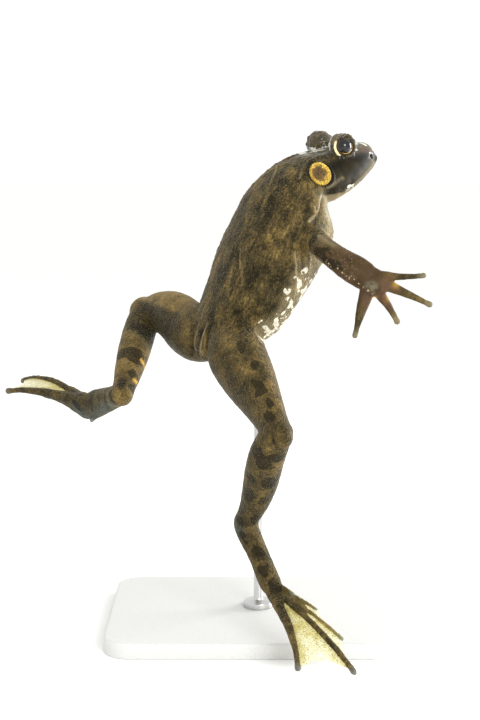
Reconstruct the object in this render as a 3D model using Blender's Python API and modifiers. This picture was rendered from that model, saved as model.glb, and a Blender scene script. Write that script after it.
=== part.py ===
# American bullfrog, adult male, life size, held in a floating pose on a display stand.
# Lengths are in millimetres until the last step, which turns them into metres.
# X runs to the frog's front, Y to its left side, Z up; the origin is the middle of the stand's underside.
import math

import bmesh
import bpy
from mathutils import Matrix, Vector

for old in list(bpy.data.objects):
    bpy.data.objects.remove(old, do_unlink=True)

GAP = 0.3
VOXEL = 0.8
FLESH_TRIANGLES = 7600


def heading(yaw, pitch, roll=0.0):
    """Forward, left and up directions of a body part, from its angles in degrees."""
    y, p, r = (math.radians(angle) for angle in (yaw, pitch, roll))
    forward = Vector((math.cos(p) * math.cos(y), math.cos(p) * math.sin(y), math.sin(p)))
    level = Vector((-math.sin(y), math.cos(y), 0.0))
    left = level * math.cos(r) + forward.cross(level) * math.sin(r)
    return forward, left, forward.cross(left)


# Head frame: the tip of the snout, and distances back, left and up from it
SNOUT = Vector((66.5, 30.0, 252.0))
HEAD_FORWARD, HEAD_LEFT, HEAD_UP = heading(26, 17, 4)


def on_head(back, left, up):
    return SNOUT - HEAD_FORWARD * back + HEAD_LEFT * left + HEAD_UP * up


# Head sections: back from the snout, half width, top, line of the mouth, underside
HEAD_ROWS = (
    (0.3, 2.5, 2.8, -1.4, -2.4),
    (1.8, 6.0, 5.8, -2.2, -3.6),
    (5.5, 10.2, 8.8, -3.2, -4.8),
    (13.0, 15.2, 10.6, -4.6, -6.6),
    (22.0, 20.2, 11.2, -6.2, -8.8),
    (33.0, 24.6, 12.0, -7.2, -11.2),
    (43.0, 27.0, 12.6, -5.8, -13.0),
    (52.0, 25.4, 10.8, -3.8, -13.0),
    (60.0, 17.0, 5.0, -2.0, -10.5),
)

# Torso sections: middle, pitch of the spine, half width, half depth of the back and of the belly
TORSO_YAW = 28
TORSO_ROWS = (
    (34.0, 14.0, 240.5, 25, 18.0, 10.0, 5.0),
    (27.8, 10.5, 237.9, 38, 23.5, 13.5, 6.5),
    (24.6, 8.7, 229.9, 55, 27.0, 20.0, 10.8),
    (21.0, 6.8, 220.5, 60, 29.5, 24.2, 22.2),
    (16.4, 4.4, 210.6, 60, 31.0, 24.5, 23.6),
    (10.8, 1.4, 200.5, 62, 31.5, 24.0, 24.0),
    (6.0, -1.2, 190.8, 66, 31.5, 23.0, 22.8),
    (2.1, -3.2, 182.1, 71, 30.5, 21.5, 21.4),
    (-2.4, -5.6, 173.1, 74, 28.5, 20.8, 20.8),
    (-6.3, -7.7, 165.7, 75, 25.5, 19.9, 19.9),
    (-10.2, -9.8, 159.1, 79, 21.5, 17.0, 17.0),
    (-15.7, -12.8, 151.0, 82, 15.0, 12.0, 12.0),
    (-19.0, -14.5, 145.5, 82, 7.0, 6.0, 6.0),
)

# Joints of the limbs
JOINTS = {
    "hip_right": Vector((-8.1, -20.0, 155.5)),
    "knee_right": Vector((13.3, -72.5, 118.7)),
    "ankle_right": Vector((-2.5, -33.8, 64.7)),
    "sole_right": Vector((10.4, -54.9, 38.2)),
    "hip_left": Vector((-19.9, 3.0, 159.0)),
    "knee_left": Vector((-58.9, 55.5, 163.4)),
    "ankle_left": Vector((-67.8, 0.6, 125.1)),
    "sole_left": Vector((-87.0, 30.5, 115.6)),
    "shoulder_right": Vector((29.6, -12.0, 211.8)),
    "elbow_right": Vector((37.2, -37.5, 205.2)),
    "wrist_right": Vector((56.4, -47.5, 192.5)),
    "shoulder_left": Vector((10.0, 30.0, 219.0)),
    "elbow_left": Vector((2.0, 56.0, 206.0)),
    "wrist_left": Vector((-3.0, 62.0, 180.0)),
}

# Toes and fingers: tip, half thickness at the root, at the middle and near the tip, how far the middle bends
TOES_RIGHT = (
    ((21.0, -69.0, 37.6), 1.7, 1.4, 1.35),
    ((32.2, -80.4, 33.2), 1.8, 1.4, 1.35),
    ((43.8, -96.3, 23.6), 2.0, 1.5, 1.4, (0.6, 0.0, 0.2)),
    ((48.2, -114.6, 14.0), 2.4, 1.8, 1.6, (1.7, 0.0, 0.6)),
    ((22.2, -105.0, 12.2), 3.3, 2.5, 1.65, (3.0, 0.0, 0.2)),
)
TOES_LEFT = (
    ((-90.0, 47.0, 114.0), 2.2, 1.7, 1.4),
    ((-99.0, 63.0, 114.0), 2.4, 1.6, 1.35),
    ((-115.0, 78.0, 116.5), 2.6, 1.8, 1.4),
    ((-134.0, 84.9, 119.1), 3.0, 2.2, 1.6),
    ((-139.0, 60.5, 117.2), 3.8, 2.6, 1.7),
)
FINGERS_RIGHT = (
    ((51.4, -52.0, 163.4), 4.4, 2.8, 1.6),
    ((72.5, -51.0, 170.2), 3.8, 2.5, 1.7, (0.6, 0.0, 0.4)),
    ((88.2, -53.0, 178.9), 3.8, 2.5, 1.7, (0.0, 0.0, 0.3)),
    ((84.6, -56.0, 193.6), 3.4, 1.9, 1.5, (0.0, 0.0, -0.6)),
)
FINGERS_LEFT = (
    ((10.0, 64.0, 160.0), 4.0, 2.9, 1.7),
    ((-1.0, 68.0, 149.0), 3.6, 2.5, 1.7),
    ((-14.0, 66.0, 149.0), 3.6, 2.4, 1.7),
    ((-22.0, 60.0, 160.0), 3.2, 2.3, 1.7),
)

# Eyes and ears, in the head frame of the right side
EYE_AT = (23.9, 11.2, 12.1)
EYE_RADIUS = 5.8
LID_RADIUS = 7.2
EYE_LOOK = (-0.20, 0.95, 0.17)
EAR_AT = (46.2, 10.6)
EAR_RADIUS = 6.2
EAR_ROWS = ((6.2, -1.2), (6.2, 0.1), (5.6, 0.6), (4.8, 0.5), (3.9, 0.0), (2.4, 0.1), (1.0, 0.3))
NOSTRIL_AT = (7.0, 5.6)

# Stand
BASE_SIZE = (150.0, 116.0, 8.0)
ROD_AT = (5.0, 3.0)
ROD_RADIUS = 2.5
ROD_TOP = 168.0

work = bpy.data.collections.new("workings")
bpy.context.scene.collection.children.link(work)
frog = bpy.data.collections.new("american_bullfrog")
bpy.context.scene.collection.children.link(frog)


# Building blocks
def spline(rows, steps):
    """Rows of numbers with smooth rows put between them."""
    out = []
    for i in range(len(rows) - 1):
        a, b = rows[max(i - 1, 0)], rows[i]
        c, d = rows[i + 1], rows[min(i + 2, len(rows) - 1)]
        for k in range(steps):
            t = k / steps
            out.append([0.5 * (2 * q + (r - p) * t + (2 * p - 5 * q + 4 * r - s) * t * t
                               + (3 * q - p - 3 * r + s) * t ** 3) for p, q, r, s in zip(a, b, c, d)])
    out.append(list(rows[-1]))
    return out


def ring(bm, middle, side, up, half_side, half_up, half_down, corners, square=1.0):
    """One closed ring of a loft, rounder or squarer, with its own height above and below."""
    made = bmesh.ops.create_circle(bm, cap_ends=False, segments=corners, radius=1.0)["verts"]
    for vert in made:
        x, y = vert.co.x, vert.co.y
        x = math.copysign(abs(x) ** square, x)
        y = math.copysign(abs(y) ** square, y)
        vert.co = middle + side * (half_side * x) + up * ((half_up if y > 0 else half_down) * y)
    return list({edge for vert in made for edge in vert.link_edges})


def close_loft(bm, rings, name):
    for first, second in zip(rings, rings[1:]):
        bmesh.ops.bridge_loops(bm, edges=first + second)
    bmesh.ops.holes_fill(bm, edges=bm.edges, sides=0)
    bmesh.ops.recalc_face_normals(bm, faces=bm.faces)
    return to_object(bm, name)


def to_object(bm, name):
    mesh = bpy.data.meshes.new(name)
    bm.to_mesh(mesh)
    bm.free()
    made = bpy.data.objects.new(name, mesh)
    work.objects.link(made)
    made.hide_render = True
    made.display_type = "WIRE"
    return made


def limb(name, rows, side, corners=20, steps=4):
    """A round ended tube: rows of x, y, z, half width along side, half width across it."""
    fine = spline(rows, steps)
    points = [Vector(row[:3]) for row in fine]
    bm = bmesh.new()
    rings = []
    last = len(fine) - 1
    for i, row in enumerate(fine):
        along = (points[min(i + 1, last)] - points[max(i - 1, 0)]).normalized()
        across = (side - along * side.dot(along)).normalized()
        up = along.cross(across)
        caps = [(0.0, 1.0)]
        if i == 0:
            caps = [(-0.9, 0.4), (-0.55, 0.82), (0.0, 1.0)]
        if i == last:
            caps = [(0.0, 1.0), (0.55, 0.82), (0.9, 0.4)]
        for shift, scale in caps:
            at = points[i] + along * (shift * min(row[3], row[4]))
            rings.append(ring(bm, at, across, up, row[3] * scale, row[4] * scale, row[4] * scale, corners))
    return close_loft(bm, rings, name)


def stations(start, end, rows):
    """Rows of fraction, width, height and an offset, laid along the line between two joints."""
    out = []
    for fraction, wide, high, *offset in rows:
        at = start.lerp(end, fraction) + (Vector(offset[0]) if offset else Vector())
        out.append((at.x, at.y, at.z, wide, high))
    return out


def ball(name, at, size, axes=None, steps=20):
    """An ellipsoid, its three half sizes along the given axes."""
    bm = bmesh.new()
    bmesh.ops.create_uvsphere(bm, u_segments=steps, v_segments=steps // 2 + 2, radius=1.0)
    frame = Matrix(axes).transposed() if axes else Matrix.Identity(3)
    for vert in bm.verts:
        x, y, z = vert.co
        vert.co = Vector(at) + frame @ Vector((x * size[0], y * size[1], z * size[2]))
    bmesh.ops.recalc_face_normals(bm, faces=bm.faces)
    return to_object(bm, name)


def disc(name, at, along, radius, thick, corners=40):
    """A flat round plate, or a rod, about the direction along."""
    bm = bmesh.new()
    bmesh.ops.create_cone(bm, cap_ends=True, segments=corners, radius1=radius, radius2=radius, depth=thick)
    turn = Vector((0, 0, 1)).rotation_difference(Vector(along).normalized()).to_matrix().to_4x4()
    bmesh.ops.transform(bm, matrix=Matrix.Translation(Vector(at)) @ turn, verts=bm.verts)
    return to_object(bm, name)


def join(name, pieces):
    bm = bmesh.new()
    for piece in pieces:
        bm.from_mesh(piece.data)
        bpy.data.objects.remove(piece, do_unlink=True)
    return to_object(bm, name)


def settle(made):
    """The mesh with its modifiers applied."""
    graph = bpy.context.evaluated_depsgraph_get()
    mesh = bpy.data.meshes.new_from_object(made.evaluated_get(graph))
    made.modifiers.clear()
    made.data = mesh
    return made


def cut(made, cutter, operation="DIFFERENCE"):
    boolean = made.modifiers.new("cut", "BOOLEAN")
    boolean.operation = operation
    boolean.object = cutter
    boolean.solver = "EXACT"
    settle(made)
    bpy.data.objects.remove(cutter, do_unlink=True)
    return made


# Torso and head
def torso():
    bm = bmesh.new()
    rings = []
    for x, y, z, pitch, wide, back, belly in spline(TORSO_ROWS, 3):
        _, left, up = heading(TORSO_YAW, pitch)
        rings.append(ring(bm, Vector((x, y, z)), left, up, wide, back, belly, 36, 0.92))
    return close_loft(bm, rings, "torso_form")


def head_lean(back):
    """How far the middle of a head section lies to the right; the far side is narrower by twice as much."""
    return 3.2 * min(max((back - 20.0) / 20.0, 0.0), 1.0)


def head():
    bm = bmesh.new()
    rings = []
    for back, wide, top, mouth, under in spline(HEAD_ROWS, 3):
        lean = head_lean(back)
        middle = on_head(back, -lean, mouth)
        wide -= lean
        rings.append(ring(bm, middle, HEAD_LEFT, HEAD_UP, wide, top - mouth, mouth - under, 36, 0.86))
    return close_loft(bm, rings, "head_form")


def on_skin(back, above, sign, sunk=0.0):
    """A point on the side of the head, above the line of the mouth, and the way the skin faces there."""
    rows = spline(HEAD_ROWS, 8)
    low = max(i for i, row in enumerate(rows) if row[0] <= back)
    after = rows[min(low + 1, len(rows) - 1)]
    part = (back - rows[low][0]) / max(after[0] - rows[low][0], 0.001)
    _, wide, top, mouth, under = (p + (q - p) * part for p, q in zip(rows[low], after))
    high = top - mouth if above > 0 else mouth - under
    rise = min(abs(above) / high, 0.999) ** (1 / 0.86)
    out = math.sqrt(1 - rise * rise) ** 0.86
    lean = head_lean(back)
    at = on_head(back, sign * ((wide - lean) * out - sunk) - lean, mouth + above)
    face = HEAD_LEFT * (sign * out) + HEAD_UP * (math.copysign(rise, above) * wide / high)
    return at, face.normalized()


def lips(sign):
    """The roll of the upper lip from the snout to the corner of the mouth."""
    rows = []
    for back in (1.0, 3.0, 6.0, 13.0, 22.0, 33.0, 43.0):
        at, _ = on_skin(back, 1.1, sign, 0.7)
        rows.append((at.x, at.y, at.z, 1.2, 1.2))
    return limb("lip", rows, HEAD_UP, 10, 3)


def ear_fold(sign):
    """The skin fold that runs from the eye over the ear and down towards the shoulder."""
    path = ((29.0, 17.0, 1.2), (35.0, 17.6, 1.4), (42.0, 17.0, 1.6), (49.5, 14.2, 1.6),
            (54.0, 9.0, 1.7), (55.5, 3.0, 1.7), (55.0, -4.0, 1.3))
    rows = []
    for back, above, thick in path:
        at, _ = on_skin(back, above, sign, 0.6)
        rows.append((at.x, at.y, at.z, thick, thick))
    return limb("ear_fold", rows, HEAD_UP, 10, 3)


def eye_look(sign):
    """The way an eye faces."""
    ahead, out, up = EYE_LOOK
    return (HEAD_FORWARD * ahead + HEAD_LEFT * (sign * out) + HEAD_UP * up).normalized()


def eye_middle(sign):
    back, left, up = EYE_AT
    return on_head(back, sign * left, up)


# Limbs
def ear_form(name, sign, rows):
    """An oval disc on the side of the head, a little higher than wide, from rows of radius and height."""
    at, face = on_skin(*EAR_AT, sign)
    face = (face * 0.6 + HEAD_LEFT * (sign * 0.4)).normalized()
    up = (HEAD_UP - face * HEAD_UP.dot(face)).normalized()
    bm = bmesh.new()
    rings = [ring(bm, at + face * high, face.cross(up), up, wide * 0.92, wide * 1.02, wide * 1.02, 24)
             for wide, high in rows]
    return close_loft(bm, rings, name)


def leg(side):
    sign = -1 if side == "right" else 1
    hip, knee = JOINTS["hip_" + side], JOINTS["knee_" + side]
    ankle, sole = JOINTS["ankle_" + side], JOINTS["sole_" + side]
    full = 0.0 if side == "right" else 1.0
    thigh = limb("thigh_form", stations(hip, knee, (
        (-0.05, 13.5, 12.5), (0.12, 16.4 - full, 14.8, (-1.4, 0, -2.6 * full)),
        (0.3, 16.6 - full * 1.2, 13.4, (-1.2, 0, -1.6 * full)),
        (0.5, 15.2 - full * 0.6, 11.2, (-0.4, 0, 1.8 * full)), (0.72, 12.0, 8.8, (0, 0, 2.6 * full)),
        (0.9, 9.2, 7.4, (0, 0, full)), (1.0, 7.8, 6.8))), Vector((0, 0, 1)))
    shank = limb("shank_form", stations(knee, ankle, (
        (0.0, 7.4, 7.2), (0.1, 8.6, 8.4, (full - 1.0, 0, 0)), (0.28, 9.2, 9.2, (full * 1.2 - 1.2, 0, 0)),
        (0.5, 8.9, 8.8, (0.2 - full * 0.2, 0, 0)), (0.72, 7.7, 7.4, (1.2 - full * 1.2, 0, 0)),
        (0.9, 6.3, 6.0, (0.8 - full * 0.8, 0, 0)), (1.0, 6.0, 6.0))), Vector((1, 0, 0)))
    heel = limb("tarsus_form", stations(ankle, sole, (
        (0.0, 6.0, 6.2), (0.15, 6.1, 5.8, (0.5 * full - 0.5, 0, 0)),
        (0.5, 5.5, 5.6 + full * 1.6, (0, 0, -0.6 * full)),
        (0.85, 5.6, 5.6 + full * 2.6, (0, 0, -1.2 * full)),
        (1.0, 5.6, 5.2 + full * 2.6, (0, 0, -1.2 * full)))), Vector((1, 0, 0)))
    made = [thigh, shank, heel, ball("knee_cap", knee, (7.6 + full * 1.3,) * 3)]
    if side == "right":
        made.append(ball("knee_bulge", knee + Vector((1.6, -3.4, -1.2)), (5.7, 5.7, 6.2)))
    return made


def digit(name, root, tip, sizes, arch, normal, bend=(0.0, 0.0, 0.0)):
    """A toe or finger that arches a little and ends in a round tip."""
    reach = tip - root
    rows = []
    for fraction, thick in ((0.0, sizes[0]), (0.25, (sizes[0] + sizes[1]) / 2), (0.5, sizes[1]),
                            (0.78, sizes[2] * 1.05), (0.92, sizes[2] * 0.95), (0.985, sizes[2] * 1.12)):
        bow = math.sin(math.pi * fraction ** 1.3)
        at = root + reach * fraction + normal * (arch * bow) + Vector(bend) * bow
        rows.append((at.x, at.y, at.z, thick, thick * 0.9))
    return limb(name, rows, normal, 12, 4), rows


def foot_axes(side):
    """Directions of a foot: ahead along the fourth toe, across towards the first toe, and up out of the web."""
    table = TOES_RIGHT if side == "right" else TOES_LEFT
    first, fourth, fifth = (Vector(table[number][0]) - JOINTS["sole_" + side] for number in (0, 3, 4))
    normal = fifth.cross(fourth).normalized()
    if normal.z < 0:
        normal = -normal
    ahead = fourth.normalized()
    across = first - fifth
    across = (across - normal * across.dot(normal) - ahead * across.dot(ahead)).normalized()
    return ahead, across, normal


def toes(side):
    table = TOES_RIGHT if side == "right" else TOES_LEFT
    sole = JOINTS["sole_" + side]
    forward, fan, normal = foot_axes(side)
    made = []
    lines = []
    for number, (tip, *sizes) in enumerate(table):
        root = sole + fan * ((2 - number) * (0.9 if side == "right" else 1.5))
        arch = 1.2 if side == "right" else (2.6, 2.6, 3.4, 6.2, 2.8)[number]
        toe, rows = digit("toe", root, Vector(tip), sizes[:3], arch, normal, *sizes[3:])
        made.append(toe)
        lines.append([Vector(row[:3]) for row in spline(rows, 4)])
    axes = (forward, fan, normal)
    made.append(ball("sole_pad", sole + forward * 3 - fan * 0.6, (7.0, 3.4, 3.2), axes))
    size, ahead = ((8.5, 3.8, 4.8), 2.0) if side == "right" else ((11.0, 6.0, 6.4), 4.0)
    made.append(ball("heel_pad", sole + forward * ahead - normal * 3.6, size, axes))
    made.append(ball("spur", sole + fan * 3.2 + forward * 3 - normal * 2.5, (3.2, 1.8, 2.0), axes))
    if side == "left":
        edge = stations(sole, Vector(table[4][0]), (
            (-0.12, 5.0, 5.0, (0, 0, -0.4)), (0.0, 6.6, 5.2, (0, 0, -1.6)), (0.08, 6.8, 5.0, (0, 0, -1.5)),
            (0.17, 5.7, 4.4, (0, 0, -1.0)), (0.245, 4.6, 3.8), (0.345, 3.6, 3.4, (0, 0, 1.0)),
            (0.425, 3.0, 3.0, (0, 0, 1.5)), (0.515, 2.8, 2.8, (0, 0, 1.8)), (0.58, 2.2, 2.2, (0, 0, 2.2))))
        made.append(limb("outer_edge", edge, Vector((0, 0, 1)), 16, 3))
        spur_from, spur_to = sole + Vector((1.5, -4.5, -4.0)), sole + Vector((0.2, -5.5, -9.2))
        made.append(limb("heel_spur", [(*spur_from, 4.0, 3.0), (*spur_to, 1.4, 1.4)], Vector((1, 0, 0)), 12, 3))
    return made, lines


def web(line_a, line_b, reach_a, reach_b, sag, normal, thick=0.8):
    """The thin skin between two toes, its free edge hollowed towards the root."""
    along, across = 6, 4
    bm = bmesh.new()
    bmesh.ops.create_grid(bm, x_segments=along, y_segments=across, size=1.0)

    def on(line, fraction):
        at = min(max(fraction, 0.0), 1.0) * (len(line) - 1)
        low = min(int(at), len(line) - 2)
        return line[low].lerp(line[low + 1], at - low)

    for vert in bm.verts:
        s, u = (vert.co.x + 1) / 2, (vert.co.y + 1) / 2
        part = 0.10 + s * ((reach_a * (1 - u) + reach_b * u) * (1 - sag * 4 * u * (1 - u)) - 0.10)
        vert.co = on(line_a, part).lerp(on(line_b, part), u)
    bmesh.ops.triangulate(bm, faces=bm.faces)
    bmesh.ops.translate(bm, vec=normal * (thick / 2), verts=bm.verts)
    pulled = bmesh.ops.extrude_face_region(bm, geom=bm.faces[:])["geom"]
    under = [part for part in pulled if isinstance(part, bmesh.types.BMVert)]
    bmesh.ops.translate(bm, vec=normal * -thick, verts=under)
    bmesh.ops.recalc_face_normals(bm, faces=bm.faces)
    return to_object(bm, "web")


def arm(side):
    shoulder, elbow, wrist = (JOINTS[name + side] for name in ("shoulder_", "elbow_", "wrist_"))
    upper = limb("upper_arm_form", stations(shoulder, elbow, (
        (-0.3, 6.4, 6.4), (0.2, 6.4, 6.2), (0.6, 6.2, 6.0), (1.0, 6.1, 5.8))), Vector((0, 0, 1)))
    lower = limb("forearm_form", stations(elbow, wrist, (
        (0.0, 6.0, 5.8), (0.25, 6.4, 6.0, (0, 0, -0.5)), (0.55, 7.1, 6.0, (0, 0, -0.5)), (0.85, 7.5, 5.4),
        (1.0, 7.4, 4.8))),
        Vector((0, 0, 1)))
    return [upper, lower]


def hand(side):
    table = FINGERS_RIGHT if side == "right" else FINGERS_LEFT
    wrist, elbow = JOINTS["wrist_" + side], JOINTS["elbow_" + side]
    forward = (wrist - elbow).normalized()
    spread = (Vector(table[3][0]) - Vector(table[0][0]))
    normal = forward.cross(spread).normalized()
    across = normal.cross(forward).normalized()
    palm = wrist + forward * 5.0
    made = [ball("palm", palm, (8.5, 6.8, 4.0), (forward, across, normal))]
    for number, (tip, *sizes) in enumerate(table):
        root = palm + across * ((-4.6, -1.1, 1.1, 3.3)[number])
        made.append(digit("finger", root, Vector(tip), sizes[:3], 0.8, normal, *sizes[3:])[0])
    pad_at = wrist + (wrist - elbow) * 0.09 + Vector((0.6, -2.8, -2.0) if side == "right" else (0.0, 2.6, -2.0))
    made.append(ball("thumb_pad", pad_at, (4.6, 2.8, 3.2), (forward, across, normal)))
    return made


# The whole animal, fused and thinned
pieces = [torso(), head()]
for sign in (-1, 1):
    pieces += [lips(sign), ear_fold(sign)]
    pieces.append(ball("lid", eye_middle(sign), (LID_RADIUS,) * 3, steps=28))
web_pieces = {}
for side in ("right", "left"):
    pieces += leg(side) + arm(side) + hand(side)
    made, lines = toes(side)
    pieces += made
    normal = foot_axes(side)[2]
    web_pieces[side] = [
        web(lines[4], lines[3], 0.97, 0.93, 0.22, normal),
        web(lines[3], lines[2], 0.80, 0.97, 0.10, normal),
        web(lines[2], lines[1], 0.75, 0.92, 0.12, normal),
    ]
body = join("body", pieces)
remesh = body.modifiers.new("fuse", "REMESH")
remesh.mode = "VOXEL"
remesh.voxel_size = VOXEL
remesh.adaptivity = 0.0
soften = body.modifiers.new("soften", "SMOOTH")
soften.factor = 0.5
soften.iterations = 6
settle(body)
triangles = sum(len(face.vertices) - 2 for face in body.data.polygons)
thin = body.modifiers.new("thin", "DECIMATE")
thin.ratio = FLESH_TRIANGLES / triangles
thin.use_collapse_triangulate = True
settle(body)


def between(first, second):
    """The direction halfway between two others."""
    return (first.normalized() + second.normalized()).normalized()


# Cuts between the parts of the body: a point, the direction across the cut, and its reach
CUTS = {
    "neck": (on_head(52.3, 0, 0), heading(26, 41)[0], 38.0),
}
for side in ("right", "left"):
    hip, knee = JOINTS["hip_" + side], JOINTS["knee_" + side]
    ankle, sole = JOINTS["ankle_" + side], JOINTS["sole_" + side]
    shoulder, elbow, wrist = (JOINTS[name + side] for name in ("shoulder_", "elbow_", "wrist_"))
    tips = TOES_RIGHT if side == "right" else TOES_LEFT
    forward = (Vector(tips[3][0]) - sole).normalized()
    if side == "right":
        CUTS["hip_right"] = (hip.lerp(knee, 0.2), (knee - hip).normalized(), 22.0)
    else:
        CUTS["hip_left"] = (hip + Vector((-7.6, 4.5, 1.0)), Vector((-0.85, 0.52, 0.08)).normalized(), 22.0)
    CUTS["knee_" + side] = (knee, between(knee - hip, ankle - knee), 17.0 if side == "right" else 25.0)
    flank = heading(TORSO_YAW, 0)[1] * (-1 if side == "right" else 1)
    CUTS["ankle_" + side] = (ankle, between(ankle - knee, sole - ankle), 13.0 if side == "right" else 17.0)
    CUTS["sole_" + side] = (sole, between(sole - ankle, forward), 11.0 if side == "right" else 13.0)
    CUTS["shoulder_" + side] = (shoulder.lerp(elbow, 0.66), between(elbow - shoulder, flank), 12.0)
    CUTS["elbow_" + side] = (elbow, between(elbow - shoulder, wrist - elbow), 11.0)
    CUTS["wrist_" + side] = (wrist, (wrist - elbow).normalized(), 10.0)


def mouth_sheet():
    """A thin curved sheet along the line of the mouth, from before the snout to the neck."""
    line = spline([(-6.0, -1.6)] + [(row[0], row[3]) for row in HEAD_ROWS[1:8]], 2)
    line[-1] = (52.0, line[-1][1])
    bm = bmesh.new()
    bmesh.ops.create_grid(bm, x_segments=len(line) - 1, y_segments=1, size=1.0)
    for vert in bm.verts:
        back, level = line[round((vert.co.x + 1) / 2 * (len(line) - 1))]
        vert.co = on_head(back, vert.co.y * 45.0, level)
    bmesh.ops.recalc_face_normals(bm, faces=bm.faces)
    bmesh.ops.solidify(bm, geom=bm.faces, thickness=GAP)
    bmesh.ops.recalc_face_normals(bm, faces=bm.faces)
    return to_object(bm, "mouth_sheet")


def loose_parts(made):
    """Each closed surface of a mesh as its own object, the largest first."""
    bm = bmesh.new()
    bm.from_mesh(made.data)
    left = set(bm.faces)
    found = []
    while left:
        seed = left.pop()
        patch, edge_of = {seed}, [seed]
        while edge_of:
            face = edge_of.pop()
            for edge in face.edges:
                for other in edge.link_faces:
                    if other in left:
                        left.discard(other)
                        patch.add(other)
                        edge_of.append(other)
        found.append([face.index for face in patch])
    bm.free()
    out = []
    for patch in sorted(found, key=len, reverse=True):
        keep = set(patch)
        bm = bmesh.new()
        bm.from_mesh(made.data)
        bm.faces.ensure_lookup_table()
        bmesh.ops.delete(bm, geom=[face for face in bm.faces if face.index not in keep], context="FACES")
        out.append(to_object(bm, "piece"))
    return out


cut(body, mouth_sheet())
for at, along, reach in CUTS.values():
    cut(body, disc("cut", at, along, reach, GAP))

# A point inside each part of the body names the piece around it
SEEDS = {
    "head": on_head(30, 0, 3),
    "lower_jaw": on_head(36, 0, -11),
    "torso": Vector((10.8, 1.4, 200.5)),
}
for side in ("right", "left"):
    tips = TOES_RIGHT if side == "right" else TOES_LEFT
    SEEDS["thigh_" + side] = JOINTS["hip_" + side].lerp(JOINTS["knee_" + side], 0.6)
    SEEDS["shank_" + side] = JOINTS["knee_" + side].lerp(JOINTS["ankle_" + side], 0.5)
    SEEDS["tarsus_" + side] = JOINTS["ankle_" + side].lerp(JOINTS["sole_" + side], 0.5)
    SEEDS["foot_" + side] = JOINTS["sole_" + side].lerp(Vector(tips[3][0]), 0.1)
    SEEDS["upper_arm_" + side] = JOINTS["shoulder_" + side].lerp(JOINTS["elbow_" + side], 0.8)
    SEEDS["forearm_" + side] = JOINTS["elbow_" + side].lerp(JOINTS["wrist_" + side], 0.5)
    forward = (JOINTS["wrist_" + side] - JOINTS["elbow_" + side]).normalized()
    SEEDS["hand_" + side] = JOINTS["wrist_" + side] + forward * 5.0


def holds(made, point):
    """Whether a closed mesh holds a point, from the faces that a line from it crosses."""
    crossed = 0
    start = point.copy()
    aim = Vector((0.011, 0.017, 1.0)).normalized()
    for _ in range(60):
        hit, at, _, _ = made.ray_cast(start, aim)
        if not hit:
            break
        crossed += 1
        start = at + aim * 0.0005
    return crossed % 2 == 1


nodes = {}
bpy.context.view_layer.update()
for piece in loose_parts(body):
    bpy.context.view_layer.update()
    names = [name for name, point in SEEDS.items() if name not in nodes and holds(piece, point)]
    if names:
        nodes[names[0]] = piece
        piece.name = names[0]
    else:
        bpy.data.objects.remove(piece, do_unlink=True)
assert len(nodes) == len(SEEDS), [name for name in SEEDS if name not in nodes]


# Webs join the feet
for side, sheets in web_pieces.items():
    for sheet in sheets:
        cut(nodes["foot_" + side], sheet, "UNION")

# Eyes in sockets under lids, ear drums in shallow rings, nostrils
for side, sign in (("right", -1), ("left", 1)):
    middle, look = eye_middle(sign), eye_look(sign)
    cut(nodes["head"], ball("socket", middle, (EYE_RADIUS + GAP,) * 3, steps=18))
    cut(nodes["head"], disc("opening", middle + look * 6.0, look, 5.2, 8.0, 20))
    eye = ball("eye_" + side, middle, (EYE_RADIUS,) * 3, steps=18)
    for vert in eye.data.vertices:
        away = (vert.co - middle).normalized()
        bulge = max(0.0, away.dot(look) - 0.80) / 0.20
        vert.co += away * (0.5 * bulge)
    nodes["eye_" + side] = eye
    cut(nodes["head"], ear_form("ear_seat", sign, ((EAR_RADIUS + GAP, -1.5), (EAR_RADIUS + GAP, 5.5))))
    nodes["tympanum_" + side] = ear_form("tympanum_" + side, sign, EAR_ROWS)
    at, face = on_skin(NOSTRIL_AT[0], NOSTRIL_AT[1], sign)
    nodes["head"] = cut(nodes["head"], ball("nostril", at, (0.9, 0.9, 0.9), steps=10))

# Stand: a flat base and one rod up into the belly
seat_at = (*ROD_AT, ROD_TOP / 2)
cut(nodes["torso"], disc("rod_seat", seat_at, (0, 0, 1), ROD_RADIUS + GAP, ROD_TOP + 2 * GAP, 24))
bm = bmesh.new()
base_x, base_y, base_z = BASE_SIZE
bmesh.ops.create_cube(bm, size=1.0)
for vert in bm.verts:
    vert.co = Vector((vert.co.x * base_x, vert.co.y * base_y, (vert.co.z + 0.5) * base_z))
corners = [edge for edge in bm.edges if abs(edge.verts[0].co.z - edge.verts[1].co.z) > 1]
bmesh.ops.bevel(bm, geom=corners, offset=14.0, segments=6, profile=0.5, affect="EDGES", material=-1)
rim = [edge for edge in bm.edges if all(vert.co.z > base_z - 0.01 for vert in edge.verts)]
bmesh.ops.bevel(bm, geom=rim, offset=1.2, segments=2, profile=0.5, affect="EDGES", material=-1)
nodes["stand_base"] = to_object(bm, "stand_base")
bm = bmesh.new()
foot = base_z + GAP
x_way, y_way = Vector((1, 0, 0)), Vector((0, 1, 0))
rod_rows = ((8.0, foot), (8.0, foot + 2.4), (7.2, foot + 3.2), (ROD_RADIUS + 0.8, foot + 3.6),
            (ROD_RADIUS, foot + 4.6), (ROD_RADIUS, ROD_TOP - 0.4), (ROD_RADIUS - 0.4, ROD_TOP))
rings = [ring(bm, Vector((*ROD_AT, high)), x_way, y_way, wide, wide, wide, 24) for wide, high in rod_rows]
nodes["stand_rod"] = close_loft(bm, rings, "stand_rod")

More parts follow.
